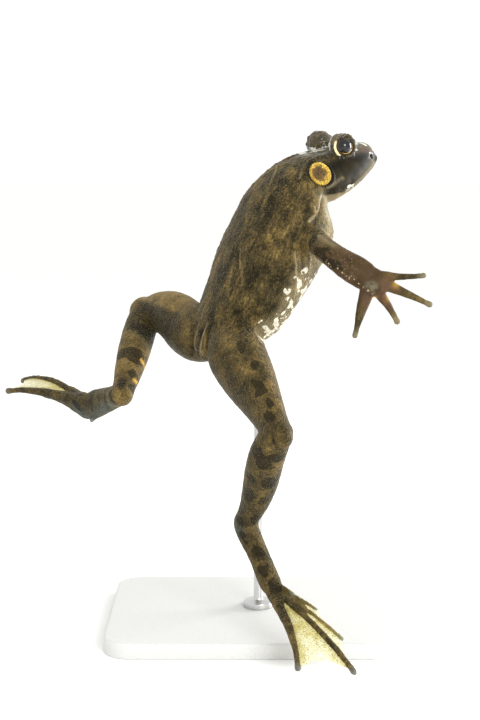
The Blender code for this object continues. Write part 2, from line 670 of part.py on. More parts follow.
# Colours and roughness of the parts
SKIN = (0.105, 0.085, 0.045)
COLOURS = {
    "lower_jaw": ((0.24, 0.19, 0.10), 0.5, 0.0),
    "eye": ((0.02, 0.014, 0.008), 0.08, 0.0),
    "tympanum": ((0.42, 0.27, 0.03), 0.4, 0.0),
    "stand_base": ((0.78, 0.78, 0.76), 0.45, 0.0),
    "stand_rod": ((0.55, 0.55, 0.54), 0.3, 1.0),
}
for name, made in nodes.items():
    looks = [look for key, look in COLOURS.items() if name.startswith(key)]
    colour, rough, metal = looks[0] if looks else (SKIN, 0.45, 0.0)
    paint = bpy.data.materials.new(name)
    paint.use_nodes = True
    shader = next(node for node in paint.node_tree.nodes if node.type == "BSDF_PRINCIPLED")
    shader.inputs["Base Color"].default_value = (*colour, 1.0)
    shader.inputs["Roughness"].default_value = rough
    shader.inputs["Metallic"].default_value = metal
    made.data.materials.clear()
    made.data.materials.append(paint)
    made.data.transform(Matrix.Scale(0.001, 4))
    made.name = name
    made.hide_render = False
    made.display_type = "TEXTURED"
    work.objects.unlink(made)
    frog.objects.link(made)
for left_over in list(work.objects):
    bpy.data.objects.remove(left_over, do_unlink=True)
bpy.data.collections.remove(work)
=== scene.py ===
# Adult male American bullfrog in a floating pose, life size, on its display stand.
# Shapes are worked out in millimetres and turned into metres when a piece is finished.
import math

import bmesh
import bpy
import numpy as np
from mathutils import Matrix, Vector, noise


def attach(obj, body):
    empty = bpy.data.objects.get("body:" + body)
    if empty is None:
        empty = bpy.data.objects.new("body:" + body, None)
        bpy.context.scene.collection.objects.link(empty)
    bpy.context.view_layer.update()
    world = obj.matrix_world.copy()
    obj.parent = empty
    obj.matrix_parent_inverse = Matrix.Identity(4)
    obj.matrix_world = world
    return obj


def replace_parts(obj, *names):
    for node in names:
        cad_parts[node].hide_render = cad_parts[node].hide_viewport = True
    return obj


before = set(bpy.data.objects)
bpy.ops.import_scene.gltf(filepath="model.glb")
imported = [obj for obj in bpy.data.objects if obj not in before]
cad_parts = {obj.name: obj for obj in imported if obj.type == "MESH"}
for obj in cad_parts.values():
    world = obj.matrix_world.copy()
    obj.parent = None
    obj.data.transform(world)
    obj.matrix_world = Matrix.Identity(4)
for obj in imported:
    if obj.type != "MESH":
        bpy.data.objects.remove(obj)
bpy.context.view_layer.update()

# Camera at the eye level of someone in front of the stand
camera = bpy.data.objects.new("camera", bpy.data.cameras.new("camera"))
bpy.context.scene.collection.objects.link(camera)
camera.location = (-0.005, -0.74225, 0.25153)
camera.rotation_euler = (math.radians(81.757), 0.0, 0.0)
camera.data.lens = 70.75
camera.data.clip_start = 0.01
bpy.context.scene.camera = camera

# Sizes shared by the forms
VOXEL = 0.64
SKIN_TRIANGLES = 192000
MILLIMETRE = 0.001
HEAD_SQUARE = 0.86
TORSO_SQUARE = 0.92
BODY_CORNERS = 72
WEB_THICK = 0.45
SKIN_SPACING = 900.0
EAR_SPACING = 1200.0
UP = Vector((0, 0, 1))
AHEAD = Vector((1, 0, 0))


def heading(yaw, pitch, roll=0.0):
    """Forward, left and up directions of a body part, from its angles in degrees."""
    y, p, r = (math.radians(angle) for angle in (yaw, pitch, roll))
    forward = Vector((math.cos(p) * math.cos(y), math.cos(p) * math.sin(y), math.sin(p)))
    level = Vector((-math.sin(y), math.cos(y), 0.0))
    left = level * math.cos(r) + forward.cross(level) * math.sin(r)
    return forward, left, forward.cross(left)


def square_to(way, axis):
    """The direction nearest to one way that is at right angles to an axis."""
    return (way - axis * way.dot(axis)).normalized()


# Head frame: the tip of the snout, and distances back, left and up from it
SNOUT = Vector((66.5, 30.0, 252.0))
HEAD_FORWARD, HEAD_LEFT, HEAD_UP = heading(26, 17, 4)


def on_head(back, left, up):
    return SNOUT - HEAD_FORWARD * back + HEAD_LEFT * left + HEAD_UP * up


# Head sections: back from the snout, half width, top, line of the mouth, underside
HEAD_ROWS = (
    (0.3, 2.5, 2.8, -1.4, -2.4),
    (1.8, 6.0, 5.8, -2.2, -3.6),
    (5.5, 10.2, 8.8, -3.2, -4.8),
    (13.0, 15.2, 10.6, -4.6, -6.6),
    (22.0, 20.2, 11.2, -6.2, -8.8),
    (33.0, 24.6, 12.0, -7.2, -11.2),
    (43.0, 27.0, 12.6, -5.8, -13.0),
    (52.0, 25.4, 10.8, -3.8, -13.0),
    (60.0, 17.0, 5.0, -2.0, -10.5),
)

# Torso sections: middle, pitch of the spine, half width, half depth of the back and of the belly
TORSO_YAW = 28
SPINE_WAY = heading(TORSO_YAW, 66)[0]
TORSO_ROWS = (
    (34.0, 14.0, 240.5, 25, 18.0, 10.0, 5.0),
    (27.8, 10.5, 237.9, 38, 23.5, 13.5, 6.5),
    (24.6, 8.7, 229.9, 55, 27.0, 20.0, 10.8),
    (21.0, 6.8, 220.5, 60, 29.5, 24.2, 22.2),
    (16.4, 4.4, 210.6, 60, 31.0, 24.5, 23.6),
    (10.8, 1.4, 200.5, 62, 31.5, 24.0, 24.0),
    (6.0, -1.2, 190.8, 66, 31.5, 23.0, 22.8),
    (2.1, -3.2, 182.1, 71, 30.5, 21.5, 21.4),
    (-2.4, -5.6, 173.1, 74, 28.5, 20.8, 20.8),
    (-6.3, -7.7, 165.7, 75, 25.5, 19.9, 19.9),
    (-10.2, -9.8, 159.1, 79, 21.5, 17.0, 17.0),
    (-15.7, -12.8, 151.0, 82, 15.0, 12.0, 12.0),
    (-19.0, -14.5, 145.5, 82, 7.0, 6.0, 6.0),
)

# Joints of the limbs
JOINTS = {
    "hip_right": Vector((-8.1, -20.0, 155.5)),
    "knee_right": Vector((13.3, -72.5, 118.7)),
    "ankle_right": Vector((-2.5, -33.8, 64.7)),
    "sole_right": Vector((10.4, -54.9, 38.2)),
    "hip_left": Vector((-19.9, 3.0, 159.0)),
    "knee_left": Vector((-58.9, 55.5, 163.4)),
    "ankle_left": Vector((-67.8, 0.6, 125.1)),
    "sole_left": Vector((-87.0, 30.5, 115.6)),
    "shoulder_right": Vector((29.6, -12.0, 211.8)),
    "elbow_right": Vector((37.2, -37.5, 205.2)),
    "wrist_right": Vector((56.4, -47.5, 192.5)),
    "shoulder_left": Vector((10.0, 30.0, 219.0)),
    "elbow_left": Vector((2.0, 56.0, 206.0)),
    "wrist_left": Vector((-3.0, 62.0, 180.0)),
}

# Toes and fingers: tip, half thickness at the root, middle and near the tip, how far the middle bends
TOES = {
    "right": (
        ((21.0, -69.0, 37.6), 1.2, 0.9, 0.9),
        ((32.2, -80.4, 33.2), 1.2, 0.9, 0.95),
        ((43.8, -96.3, 23.6), 1.5, 1.1, 1.15, (0.6, 0.0, 0.2)),
        ((48.2, -114.6, 14.0), 2.2, 1.7, 1.6, (1.7, 0.0, 0.6)),
        ((22.2, -105.0, 12.2), 3.3, 2.5, 1.65, (3.0, 0.0, 0.2)),
    ),
    "left": (
        ((-90.0, 47.0, 114.0), 2.2, 1.7, 1.4),
        ((-99.0, 63.0, 114.0), 2.4, 1.6, 1.35),
        ((-115.0, 78.0, 116.5), 2.6, 1.8, 1.4),
        ((-134.0, 84.9, 119.1), 3.0, 2.2, 1.6),
        ((-139.0, 60.5, 117.2), 3.8, 2.6, 1.7),
    ),
}
FINGERS = {
    "right": (
        ((51.4, -52.0, 163.4), 4.4, 2.8, 1.6, (0.0, 0.0, 0.0)),
        ((72.5, -51.0, 170.2), 3.8, 2.5, 1.7, (0.6, 0.0, 0.4)),
        ((88.2, -53.0, 178.9), 3.8, 2.5, 1.7, (0.0, 0.0, 0.3)),
        ((84.6, -56.0, 193.6), 3.4, 1.9, 1.5, (0.0, 0.0, -0.6)),
    ),
    "left": (
        ((10.0, 64.0, 160.0), 4.0, 2.9, 1.7),
        ((-1.0, 68.0, 149.0), 3.6, 2.5, 1.7),
        ((-14.0, 66.0, 149.0), 3.6, 2.4, 1.7),
        ((-22.0, 60.0, 160.0), 3.2, 2.3, 1.7),
    ),
}

# Eyes and ears, in the head frame of the right side
EYE_AT = (23.9, 11.2, 12.1)
EYE_RADIUS = 5.8
LID_RADIUS = 7.2
LID_REACH = 10.5
LID_HOLLOW = 4.6
EYE_LOOK = (-0.20, 0.95, 0.17)
PUPIL_LOOK = (0.0, 0.98, 0.17)
EAR_AT = (46.2, 10.6)
EAR_SHAPE = (0.91, 1.01)
NOSTRIL_AT = (7.0, 5.6)
NOSTRIL_DEPTH = 1.3
MOUTH_DEPTH = 0.9

# Heights where the top of the head turns wet, where the top of the snout starts, and where the neck does
WET_BAND = (249.0, 253.0)
SNOUT_TOP_BAND = (252.0, 253.6)
NECK_HEIGHT = 228.0

# Relief and markings of the skin
DIGIT_FLESH = 4.5
WART_HEIGHT = 0.19
BELLY_PATCH = 3.2
BELLY_PATCHES_ABOVE = 1.02
NOISES = {"lumps": (9.0, 3.1), "small": (3.6, 7.7), "tiny": (1.5, 1.3)}

# Stand
BASE_SIZE = (150.0, 116.0, 8.0)
BASE_CORNER = 14.0
BASE_EDGE = 1.2
ROD_AT = (5.0, 3.0)
ROD_RADIUS = 2.5
ROD_TOP = 168.0


# Building blocks
def spline(rows, steps):
    """Rows of numbers with smooth rows put between them."""
    out = []
    for i in range(len(rows) - 1):
        a, b = rows[max(i - 1, 0)], rows[i]
        c, d = rows[i + 1], rows[min(i + 2, len(rows) - 1)]
        for k in range(steps):
            t = k / steps
            out.append([0.5 * (2 * q + (r - p) * t + (2 * p - 5 * q + 4 * r - s) * t * t
                               + (3 * q - p - 3 * r + s) * t ** 3) for p, q, r, s in zip(a, b, c, d)])
    out.append(list(rows[-1]))
    return out


def ring(bm, middle, side, up, half_side, half_up, half_down, corners, square=1.0):
    """One closed ring of a loft, rounder or squarer, with its own height above and below."""
    made = bmesh.ops.create_circle(bm, cap_ends=False, segments=corners, radius=1.0)["verts"]
    for vert in made:
        x, y = vert.co.x, vert.co.y
        x = math.copysign(abs(x) ** square, x)
        y = math.copysign(abs(y) ** square, y)
        vert.co = middle + side * (half_side * x) + up * ((half_up if y > 0 else half_down) * y)
    return list({edge for vert in made for edge in vert.link_edges})


def close_loft(bm, rings, name):
    for first, second in zip(rings, rings[1:]):
        bmesh.ops.bridge_loops(bm, edges=first + second)
    bmesh.ops.holes_fill(bm, edges=bm.edges, sides=0)
    bmesh.ops.recalc_face_normals(bm, faces=bm.faces)
    return to_object(bm, name)


def to_object(bm, name):
    mesh = bpy.data.meshes.new(name)
    bm.to_mesh(mesh)
    bm.free()
    made = bpy.data.objects.new(name, mesh)
    bpy.context.scene.collection.objects.link(made)
    return made


def limb(name, rows, side, corners=32, steps=6):
    """A round ended tube: rows of x, y, z, half width along side, half width across it."""
    fine = spline(rows, steps)
    points = [Vector(row[:3]) for row in fine]
    bm = bmesh.new()
    rings = []
    last = len(fine) - 1
    for i, row in enumerate(fine):
        along = (points[min(i + 1, last)] - points[max(i - 1, 0)]).normalized()
        across = square_to(side, along)
        up = along.cross(across)
        caps = [(0.0, 1.0)]
        if i == 0:
            caps = [(-0.95, 0.3), (-0.8, 0.6), (-0.5, 0.86), (0.0, 1.0)]
        if i == last:
            caps = [(0.0, 1.0), (0.5, 0.86), (0.8, 0.6), (0.95, 0.3)]
        for shift, scale in caps:
            at = points[i] + along * (shift * min(row[3], row[4]))
            rings.append(ring(bm, at, across, up, row[3] * scale, row[4] * scale, row[4] * scale, corners))
    return close_loft(bm, rings, name)


def stations(start, end, rows):
    """Rows of fraction, width, height and an offset, laid along the line between two joints."""
    out = []
    for fraction, wide, high, *offset in rows:
        at = start.lerp(end, fraction) + (Vector(offset[0]) if offset else Vector())
        out.append((*at, wide, high))
    return out


def ball(name, at, size, axes=None, steps=32):
    """An ellipsoid, its three half sizes along the given axes."""
    bm = bmesh.new()
    bmesh.ops.create_uvsphere(bm, u_segments=steps, v_segments=steps // 2 + 2, radius=1.0)
    turn = Matrix(axes).transposed() if axes else Matrix.Identity(3)
    for vert in bm.verts:
        x, y, z = vert.co
        vert.co = Vector(at) + turn @ Vector((x * size[0], y * size[1], z * size[2]))
    bmesh.ops.recalc_face_normals(bm, faces=bm.faces)
    return to_object(bm, name)


def join(name, parts):
    bm = bmesh.new()
    for part in parts:
        bm.from_mesh(part.data)
        bpy.data.objects.remove(part, do_unlink=True)
    return to_object(bm, name)


def change(made, name, kind, **settings):
    """A modifier on a piece, with its settings."""
    modifier = made.modifiers.new(name, kind)
    for setting, value in settings.items():
        setattr(modifier, setting, value)


def settle(made):
    """The piece with its modifiers applied."""
    graph = bpy.context.evaluated_depsgraph_get()
    mesh = bpy.data.meshes.new_from_object(made.evaluated_get(graph))
    made.modifiers.clear()
    made.data = mesh
    return made


def finish(made, paint):
    """A piece in metres, smooth, painted and riding on the model."""
    made.data.transform(Matrix.Scale(MILLIMETRE, 4))
    made.data.shade_smooth()
    made.data.materials.clear()
    made.data.materials.append(paint)
    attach(made, "root")
    return made


# Forms of the body
def torso():
    bm = bmesh.new()
    rings = []
    for x, y, z, pitch, wide, back, belly in spline(TORSO_ROWS, 5):
        _, left, up = heading(TORSO_YAW, pitch)
        rings.append(ring(bm, Vector((x, y, z)), left, up, wide, back, belly, BODY_CORNERS, TORSO_SQUARE))
    return close_loft(bm, rings, "torso_form")


def head_lean(back):
    """How far a head section lies to the right; its far side is narrower by twice as much."""
    return 4.0 * min(max((back - 20.0) / 20.0, 0.0), 1.0)


def head():
    bm = bmesh.new()
    rings = []
    for back, wide, top, mouth, under in spline(HEAD_ROWS, 6):
        lean = head_lean(back)
        rings.append(ring(bm, on_head(back, -lean, mouth), HEAD_LEFT, HEAD_UP, wide - lean, top - mouth,
                          mouth - under, BODY_CORNERS, HEAD_SQUARE))
    return close_loft(bm, rings, "head_form")


def on_skin(back, above, sign, sunk=0.0):
    """A point on the side of the head, above the mouth, and the way the skin faces there."""
    rows = spline(HEAD_ROWS, 8)
    low = max(i for i, row in enumerate(rows) if row[0] <= back)
    after = rows[min(low + 1, len(rows) - 1)]
    part = (back - rows[low][0]) / max(after[0] - rows[low][0], 0.001)
    _, wide, top, mouth, under = (p + (q - p) * part for p, q in zip(rows[low], after))
    high = top - mouth if above > 0 else mouth - under
    rise = min(abs(above) / high, 0.999) ** (1 / HEAD_SQUARE)
    out = math.sqrt(1 - rise * rise) ** HEAD_SQUARE
    lean = head_lean(back)
    at = on_head(back, sign * ((wide - lean) * out - sunk) - lean, mouth + above)
    face = HEAD_LEFT * (sign * out) + HEAD_UP * (math.copysign(rise, above) * wide / high)
    return at, face.normalized()


# Rolls of skin on the side of the head: back from the snout, above the mouth, half thickness.
# One is the upper lip, the other the fold from the eye over the ear and down towards the shoulder.
LIP_ROLL = [(back, 1.1, 1.2) for back in (1.0, 3.0, 6.0, 13.0, 22.0, 33.0, 43.0)]
EAR_FOLD = ((29.0, 17.0, 1.2), (35.0, 17.6, 1.4), (42.0, 17.0, 1.6), (49.5, 14.2, 1.6),
            (54.0, 9.0, 1.7), (55.5, 3.0, 1.7), (55.0, -4.0, 1.3))


def roll(name, rows, sign, sunk, steps):
    laid = [(*on_skin(back, above, sign, sunk)[0], thick, thick) for back, above, thick in rows]
    return limb(name, laid, HEAD_UP, 14, steps)


def eye_look(sign, look=EYE_LOOK):
    """The way the opening of an eye faces, or its pupil."""
    ahead, out, up = look
    return (HEAD_FORWARD * ahead + HEAD_LEFT * (sign * out) + HEAD_UP * up).normalized()


def eye_middle(sign):
    back, left, up = EYE_AT
    return on_head(back, sign * left, up)


def ear_frame(sign):
    """Middle of an ear drum, the way it faces, and its directions across and up."""
    at, face = on_skin(*EAR_AT, sign, 1.7 if sign > 0 else 0.0)
    face = (face * 0.6 + HEAD_LEFT * (sign * 0.4)).normalized()
    up = square_to(HEAD_UP, face)
    return at, face, face.cross(up), up


def leg(side):
    hip, knee = JOINTS["hip_" + side], JOINTS["knee_" + side]
    ankle, sole = JOINTS["ankle_" + side], JOINTS["sole_" + side]
    full = 0.0 if side == "right" else 1.0
    thigh = limb("thigh_form", stations(hip, knee, (
        (-0.05, 13.5, 12.5), (0.12, 16.4 - full, 14.8, (-1.4, 0, -2.6 * full)),
        (0.3, 16.6 - full * 1.2, 13.4, (-1.2, 0, -1.6 * full)),
        (0.5, 15.2 - full * 0.6, 11.2, (-0.4, 0, 1.8 * full)), (0.72, 12.0, 8.8, (0, 0, 2.6 * full)),
        (0.9, 9.2, 7.4, (0, 0, full)), (1.0, 7.8, 6.8))), UP)
    shank = limb("shank_form", stations(knee, ankle, (
        (0.0, 7.4, 7.2), (0.1, 8.6, 8.4, (full - 1.0, 0, 0)), (0.28, 9.2, 9.2, (full * 1.2 - 1.2, 0, 0)),
        (0.5, 8.9, 8.8, (0.2 - full * 0.2, 0, 0)), (0.72, 7.7, 7.4, (1.2 - full * 1.2, 0, 0)),
        (0.9, 6.3, 6.0, (0.8 - full * 0.8, 0, 0)), (1.0, 6.0, 6.0))), AHEAD)
    heel = limb("tarsus_form", stations(ankle, sole, (
        (0.0, 6.0, 6.2), (0.15, 6.1, 5.8, (0.5 * full - 0.5, 0, 0)),
        (0.5, 5.5, 5.6 + full * 1.6, (0, 0, -0.6 * full)), (0.85, 5.6, 5.6 + full * 2.6, (0, 0, -1.2 * full)),
        (1.0, 5.6, 5.2 + full * 2.6, (0, 0, -1.2 * full)))), AHEAD)
    forms = [thigh, shank, heel, ball("knee_cap", knee, (7.6 + full * 1.3,) * 3)]
    if side == "right":
        forms.append(ball("knee_bulge", knee + Vector((1.6, -3.4, -1.2)), (5.7, 5.7, 6.2)))
    return forms


def digit(name, root, tip, sizes, arch, normal, bend=(0.0, 0.0, 0.0)):
    """A toe or finger that arches a little and ends in a round tip."""
    reach = tip - root
    rows = []
    for fraction, thick in ((0.0, sizes[0]), (0.25, (sizes[0] + sizes[1]) / 2), (0.5, sizes[1]),
                            (0.78, sizes[2] * 1.05), (0.92, sizes[2] * 0.95), (0.985, sizes[2] * 1.12)):
        bow = math.sin(math.pi * fraction ** 1.3)
        at = root + reach * fraction + normal * (arch * bow) + Vector(bend) * bow
        rows.append((*at, thick, thick * 0.9))
    return limb(name, rows, normal, 20, 6), rows


def foot_axes(side):
    """Directions of a foot: along the fourth toe, across towards the first toe, and out of the web."""
    first, fourth, fifth = (Vector(TOES[side][number][0]) - JOINTS["sole_" + side] for number in (0, 3, 4))
    normal = fifth.cross(fourth).normalized()
    if normal.z < 0:
        normal = -normal
    ahead = fourth.normalized()
    across = first - fifth
    across = (across - normal * across.dot(normal) - ahead * across.dot(ahead)).normalized()
    return ahead, across, normal


def toes(side):
    table = TOES[side]
    sole = JOINTS["sole_" + side]
    forward, fan, normal = foot_axes(side)
    made, lines = [], []
    for number, (tip, *sizes) in enumerate(table):
        root = sole + fan * ((2 - number) * (0.9 if side == "right" else 1.5))
        arch = 1.2 if side == "right" else (2.6, 2.6, 3.4, 6.2, 2.8)[number]
        toe, rows = digit("toe", root, Vector(tip), sizes[:3], arch, normal, *sizes[3:])
        made.append(toe)
        lines.append([Vector(row[:3]) for row in spline(rows, 4)])
    axes = (forward, fan, normal)
    made.append(ball("sole_pad", sole + forward * 3 - fan * 0.6, (7.0, 3.4, 3.2), axes))
    size, ahead = ((8.5, 3.8, 4.8), 2.0) if side == "right" else ((11.0, 6.0, 6.4), 4.0)
    made.append(ball("heel_pad", sole + forward * ahead - normal * 3.6, size, axes))
    made.append(ball("spur", sole + fan * 3.2 + forward * 3 - normal * 2.5, (3.2, 1.8, 2.0), axes))
    if side == "left":
        edge = stations(sole, Vector(table[4][0]), (
            (-0.12, 5.0, 5.0, (0, 0, -0.4)), (0.0, 6.6, 5.2, (0, 0, -1.6)), (0.08, 6.8, 5.0, (0, 0, -1.5)),
            (0.17, 5.7, 4.4, (0, 0, -1.0)), (0.245, 4.6, 3.8, (0, 0, 0.0)), (0.345, 3.6, 3.4, (0, 0, 1.0)),
            (0.425, 3.0, 3.0, (0, 0, 1.5)), (0.515, 2.8, 2.8, (0, 0, 1.8)), (0.58, 2.2, 2.2, (0, 0, 2.2))))
        made.append(limb("outer_edge", edge, UP, 24, 4))
        root, tip = sole + Vector((1.5, -4.5, -4.0)), sole + Vector((0.2, -5.5, -9.2))
        made.append(limb("heel_spur", [(*root, 4.0, 3.0), (*tip, 1.3, 1.3)], AHEAD, 20, 4))
    return made, lines


def arm(side):
    shoulder, elbow, wrist = (JOINTS[name + side] for name in ("shoulder_", "elbow_", "wrist_"))
    upper = limb("upper_arm_form", stations(shoulder, elbow, (
        (-0.3, 6.4, 6.4), (0.2, 6.4, 6.2), (0.6, 6.2, 6.0), (1.0, 6.1, 5.8))), UP)
    lower = limb("forearm_form", stations(elbow, wrist, (
        (0.0, 6.0, 5.8), (0.25, 6.4, 6.0, (0, 0, -0.5)), (0.55, 7.1, 6.0, (0, 0, -0.5)), (0.85, 7.5, 5.4),
        (1.0, 7.4, 4.8))), UP)
    return [upper, lower]


def thumb_pad_at(side):
    """The pad on the palm at the root of the first finger."""
    wrist, elbow = JOINTS["wrist_" + side], JOINTS["elbow_" + side]
    return wrist + (wrist - elbow) * 0.09 + Vector((0.6, -2.8, -2.0) if side == "right" else (0.0, 2.6, -2.0))


def hand(side):
    table = FINGERS[side]
    wrist, elbow = JOINTS["wrist_" + side], JOINTS["elbow_" + side]
    forward = (wrist - elbow).normalized()
    spread = Vector(table[3][0]) - Vector(table[0][0])
    normal = forward.cross(spread).normalized()
    across = normal.cross(forward).normalized()
    axes = (forward, across, normal)
    palm = wrist + forward * 5.0
    made = [ball("palm", palm, (8.5, 6.8, 4.0), axes)]
    for number, (tip, *sizes) in enumerate(table):
        root = palm + across * ((-4.6, -1.1, 1.1, 3.3)[number])
        made.append(digit("finger", root, Vector(tip), sizes[:3], 0.8, normal, *sizes[3:])[0])
    made.append(ball("thumb_pad", thumb_pad_at(side), (4.6, 2.8, 3.2), axes))
    return made


# Fields over the skin, one number a point
def smooth(values, low, high):
    t = unit((values - low) / (high - low))
    return t * t * (3 - 2 * t)


def unit(values):
    """Held between nothing and one."""
    return np.clip(values, 0.0, 1.0)


def near(distance, width):
    """One at no distance, falling softly to nothing."""
    return np.exp(-(distance / width) ** 2)


def grain(points, size, seed=0.0, stretch=None):
    """Soft noise from about -1 to 1, its lumps about size millimetres across."""
    scaled = points / size
    if stretch is not None:
        along = np.array(stretch)
        scaled = scaled - np.outer(scaled @ along, along) * 0.7
    scaled = scaled + seed
    return np.array([noise.noise(point) for point in scaled]) * 1.6


def cells(points, size, where, stretch):
    """How far each point lies inside its cell, zero between the cells and where none are asked for."""
    along = np.array(stretch)
    scaled = points / size
    scaled = scaled - np.outer(scaled @ along, along) * 0.55
    out = np.zeros(len(points))
    for index in np.flatnonzero(where):
        nearest = noise.voronoi(scaled[index])[0]
        out[index] = nearest[1] - nearest[0]
    return out


def along_bone(points, start, end):
    """Fraction along a bone, distance across it seen from the right, distance from it, and its length."""
    start, end = np.array(start), np.array(end)
    way = end - start
    length = np.linalg.norm(way)
    way = way / length
    across = np.cross(way, (0.0, 1.0, 0.0))
    across = across / np.linalg.norm(across)
    out = points - start
    fraction = out @ way / length
    on_bone = start + np.outer(np.clip(fraction, 0.0, 1.0) * length, way)
    return fraction, out @ across, np.linalg.norm(points - on_bone, axis=1), length


def path_distance(points, path):
    """Distance of each point from a chain of points that is first laid on the skin."""
    laid = [points[np.argmin(((points - np.array(point)) ** 2).sum(1))] for point in spline(path, 5)]
    best = np.full(len(points), 1e9)
    for start, end in zip(laid, laid[1:]):
        if np.linalg.norm(end - start) > 0.01:
            best = np.minimum(best, along_bone(points, start, end)[2])
    return best


def other_side(point):
    """The same place on the other side of the body."""
    middle, left = Vector(TORSO_ROWS[5][:3]), heading(TORSO_YAW, 0)[1]
    point = Vector(point)
    return point - left * (2 * (point - middle).dot(left))


# Bones: start, end, and how far the flesh round them reaches
BONES = {}
for side in ("right", "left"):
    for name, start, end, reach in (
            ("thigh_", "hip_", "knee_", 17.0), ("shank_", "knee_", "ankle_", 11.0),
            ("tarsus_", "ankle_", "sole_", 9.5), ("upper_arm_", "shoulder_", "elbow_", 8.0),
            ("forearm_", "elbow_", "wrist_", 9.0)):
        BONES[name + side] = (JOINTS[start + side], JOINTS[end + side], reach)
    BONES["foot_" + side] = (JOINTS["sole_" + side], Vector(TOES[side][4][0]), 9.0)

# Dark marks along each bone: fraction, offset across, half length and half width in millimetres
DARK_MARKS = {
    "thigh_right": (
        (0.49, 6.0, 2.2, 2.2), (0.66, 2.4, 5.4, 2.8), (0.92, 0.8, 3.1, 3.0), (0.84, 4.2, 1.2, 1.2),
        (0.79, 3.4, 1.5, 1.2), (1.07, 3.7, 1.5, 1.3), (0.30, 4.0, 3.0, 1.6)),
    "shank_right": (
        (0.15, -6.2, 3.4, 3.6), (0.20, -2.0, 3.2, 5.0), (0.13, 2.6, 2.9, 3.6), (0.41, -5.6, 2.5, 2.6),
        (0.39, 4.3, 4.0, 3.5), (0.59, -3.6, 4.9, 3.3), (0.60, 4.6, 2.4, 2.9), (0.83, 3.6, 4.4, 2.4),
        (0.92, -2.6, 4.0, 2.2)),
    "tarsus_right": ((0.25, -3.2, 3.0, 1.8), (0.54, 0.7, 3.8, 2.8), (0.82, 0.1, 3.4, 3.0)),
    "foot_right": ((0.12, 2.0, 4.4, 2.4), (0.33, 2.8, 3.8, 2.0)),
    "shank_left": (
        (0.13, 2.0, 2.2, 4.0), (0.34, 0.5, 3.2, 8.0), (0.38, 4.0, 2.4, 4.0), (0.63, -1.0, 3.4, 7.5),
        (0.68, 2.5, 3.0, 4.0), (0.84, 3.4, 2.8, 2.6), (0.95, -2.0, 3.2, 2.4), (0.95, 4.8, 2.6, 2.0)),
    "tarsus_left": (
        (0.05, -1.0, 1.6, 4.0), (0.26, -2.0, 1.8, 4.4), (0.74, -1.5, 2.0, 4.4), (1.10, -3.0, 2.0, 3.0)),
    "forearm_right": ((0.05, -3.0, 4.0, 2.6), (0.45, -3.2, 6.0, 2.0)),
    "upper_arm_right": ((0.80, 0.0, 3.4, 4.0),),
}

# Folds of the skin on the right side: points, half width, height (below zero for a crease), light line.
# The first few are on both sides.
FOLDS_ON_BOTH_SIDES = 6
FOLDS = (
    (((16.2, 8.3, 247.2), (13.1, -2.9, 241.7), (10.5, -8.7, 236.4)), 1.1, 0.7, 0.5),
    (((-5.0, -19.5, 203.7), (-5.0, -24.1, 195.0)), 0.8, 0.5, 0.5),
    (((-6.4, -20.4, 204.0), (-6.6, -24.0, 194.0)), 1.0, -0.8, 0.0),
    (((22.5, -27.8, 202.6), (23.5, -26.9, 187.1), (22.5, -25.1, 180.0)), 0.8, 0.55, 0.75),
    (((30.5, -23.3, 203.3), (30.3, -21.7, 192.1)), 0.8, 0.5, 0.7),
    (((26.5, -26.3, 206.0), (26.9, -25.7, 194.0)), 1.0, -0.6, 0.0),
    (((-6.0, -31.7, 172.3), (-1.0, -32.5, 175.2), (3.6, -32.4, 170.7)), 1.3, -1.3, 0.0),
    (((1.5, -31.2, 164.1), (5.1, -39.3, 158.2)), 1.2, -0.8, 0.0),
    (((2.6, -31.0, 164.6), (6.8, -38.0, 158.6)), 1.2, 0.4, 0.8),
    (((-19.2, -24.5, 167.1), (-21.8, -23.1, 160.3), (-22.0, -24.1, 152.8)), 1.1, -1.2, 0.0),
    (((-23.7, -19.0, 164.7), (-26.4, -17.1, 157.0), (-26.2, -14.8, 148.2)), 1.2, -1.3, 0.0),
    (((-21.6, -22.0, 166.5), (-24.2, -20.5, 158.5), (-24.3, -19.5, 150.5)), 0.8, 0.6, 0.45),
    (((-27.7, -9.4, 164.0), (-28.9, -7.6, 155.4), (-30.5, -1.5, 147.0)), 1.2, -1.1, 0.0),
    (((-25.7, -14.4, 164.5), (-27.6, -12.4, 156.5), (-28.3, -8.0, 148.0)), 0.8, 0.6, 0.45),
    (((29.0, -30.0, 214.5), (29.4, -32.0, 207.0), (31.0, -27.0, 199.5)), 1.2, -1.2, 0.0),
)

# Folds that the raised head makes on the right side only, and the folded skin under the knee
NECK_FOLDS = (
    (((36.4, -15.3, 231.3), (35.1, -17.9, 225.9), (34.3, -19.1, 222.9)), 0.8, 0.6, 1.0),
    (((32.7, -19.3, 225.4), (33.6, -20.4, 221.7), (32.0, -26.4, 219.2)), 0.8, 0.5, 0.8),
    (((37.0, -16.5, 225.8), (40.3, -11.4, 227.2), (43.8, -5.6, 228.7)), 0.8, 0.3, 0.6),
    (((38.0, -17.0, 229.8), (36.8, -18.0, 226.0), (35.6, -19.0, 221.5)), 0.9, -0.8, 0.0),
    (((31.3, -4.1, 248.4), (27.4, -9.1, 244.6), (25.4, -13.7, 239.4)), 0.8, 0.2, 0.4),
    (((9.9, -79.3, 118.1), (14.1, -77.3, 112.7), (19.3, -69.6, 109.9)), 0.9, -1.2, 0.0),
)

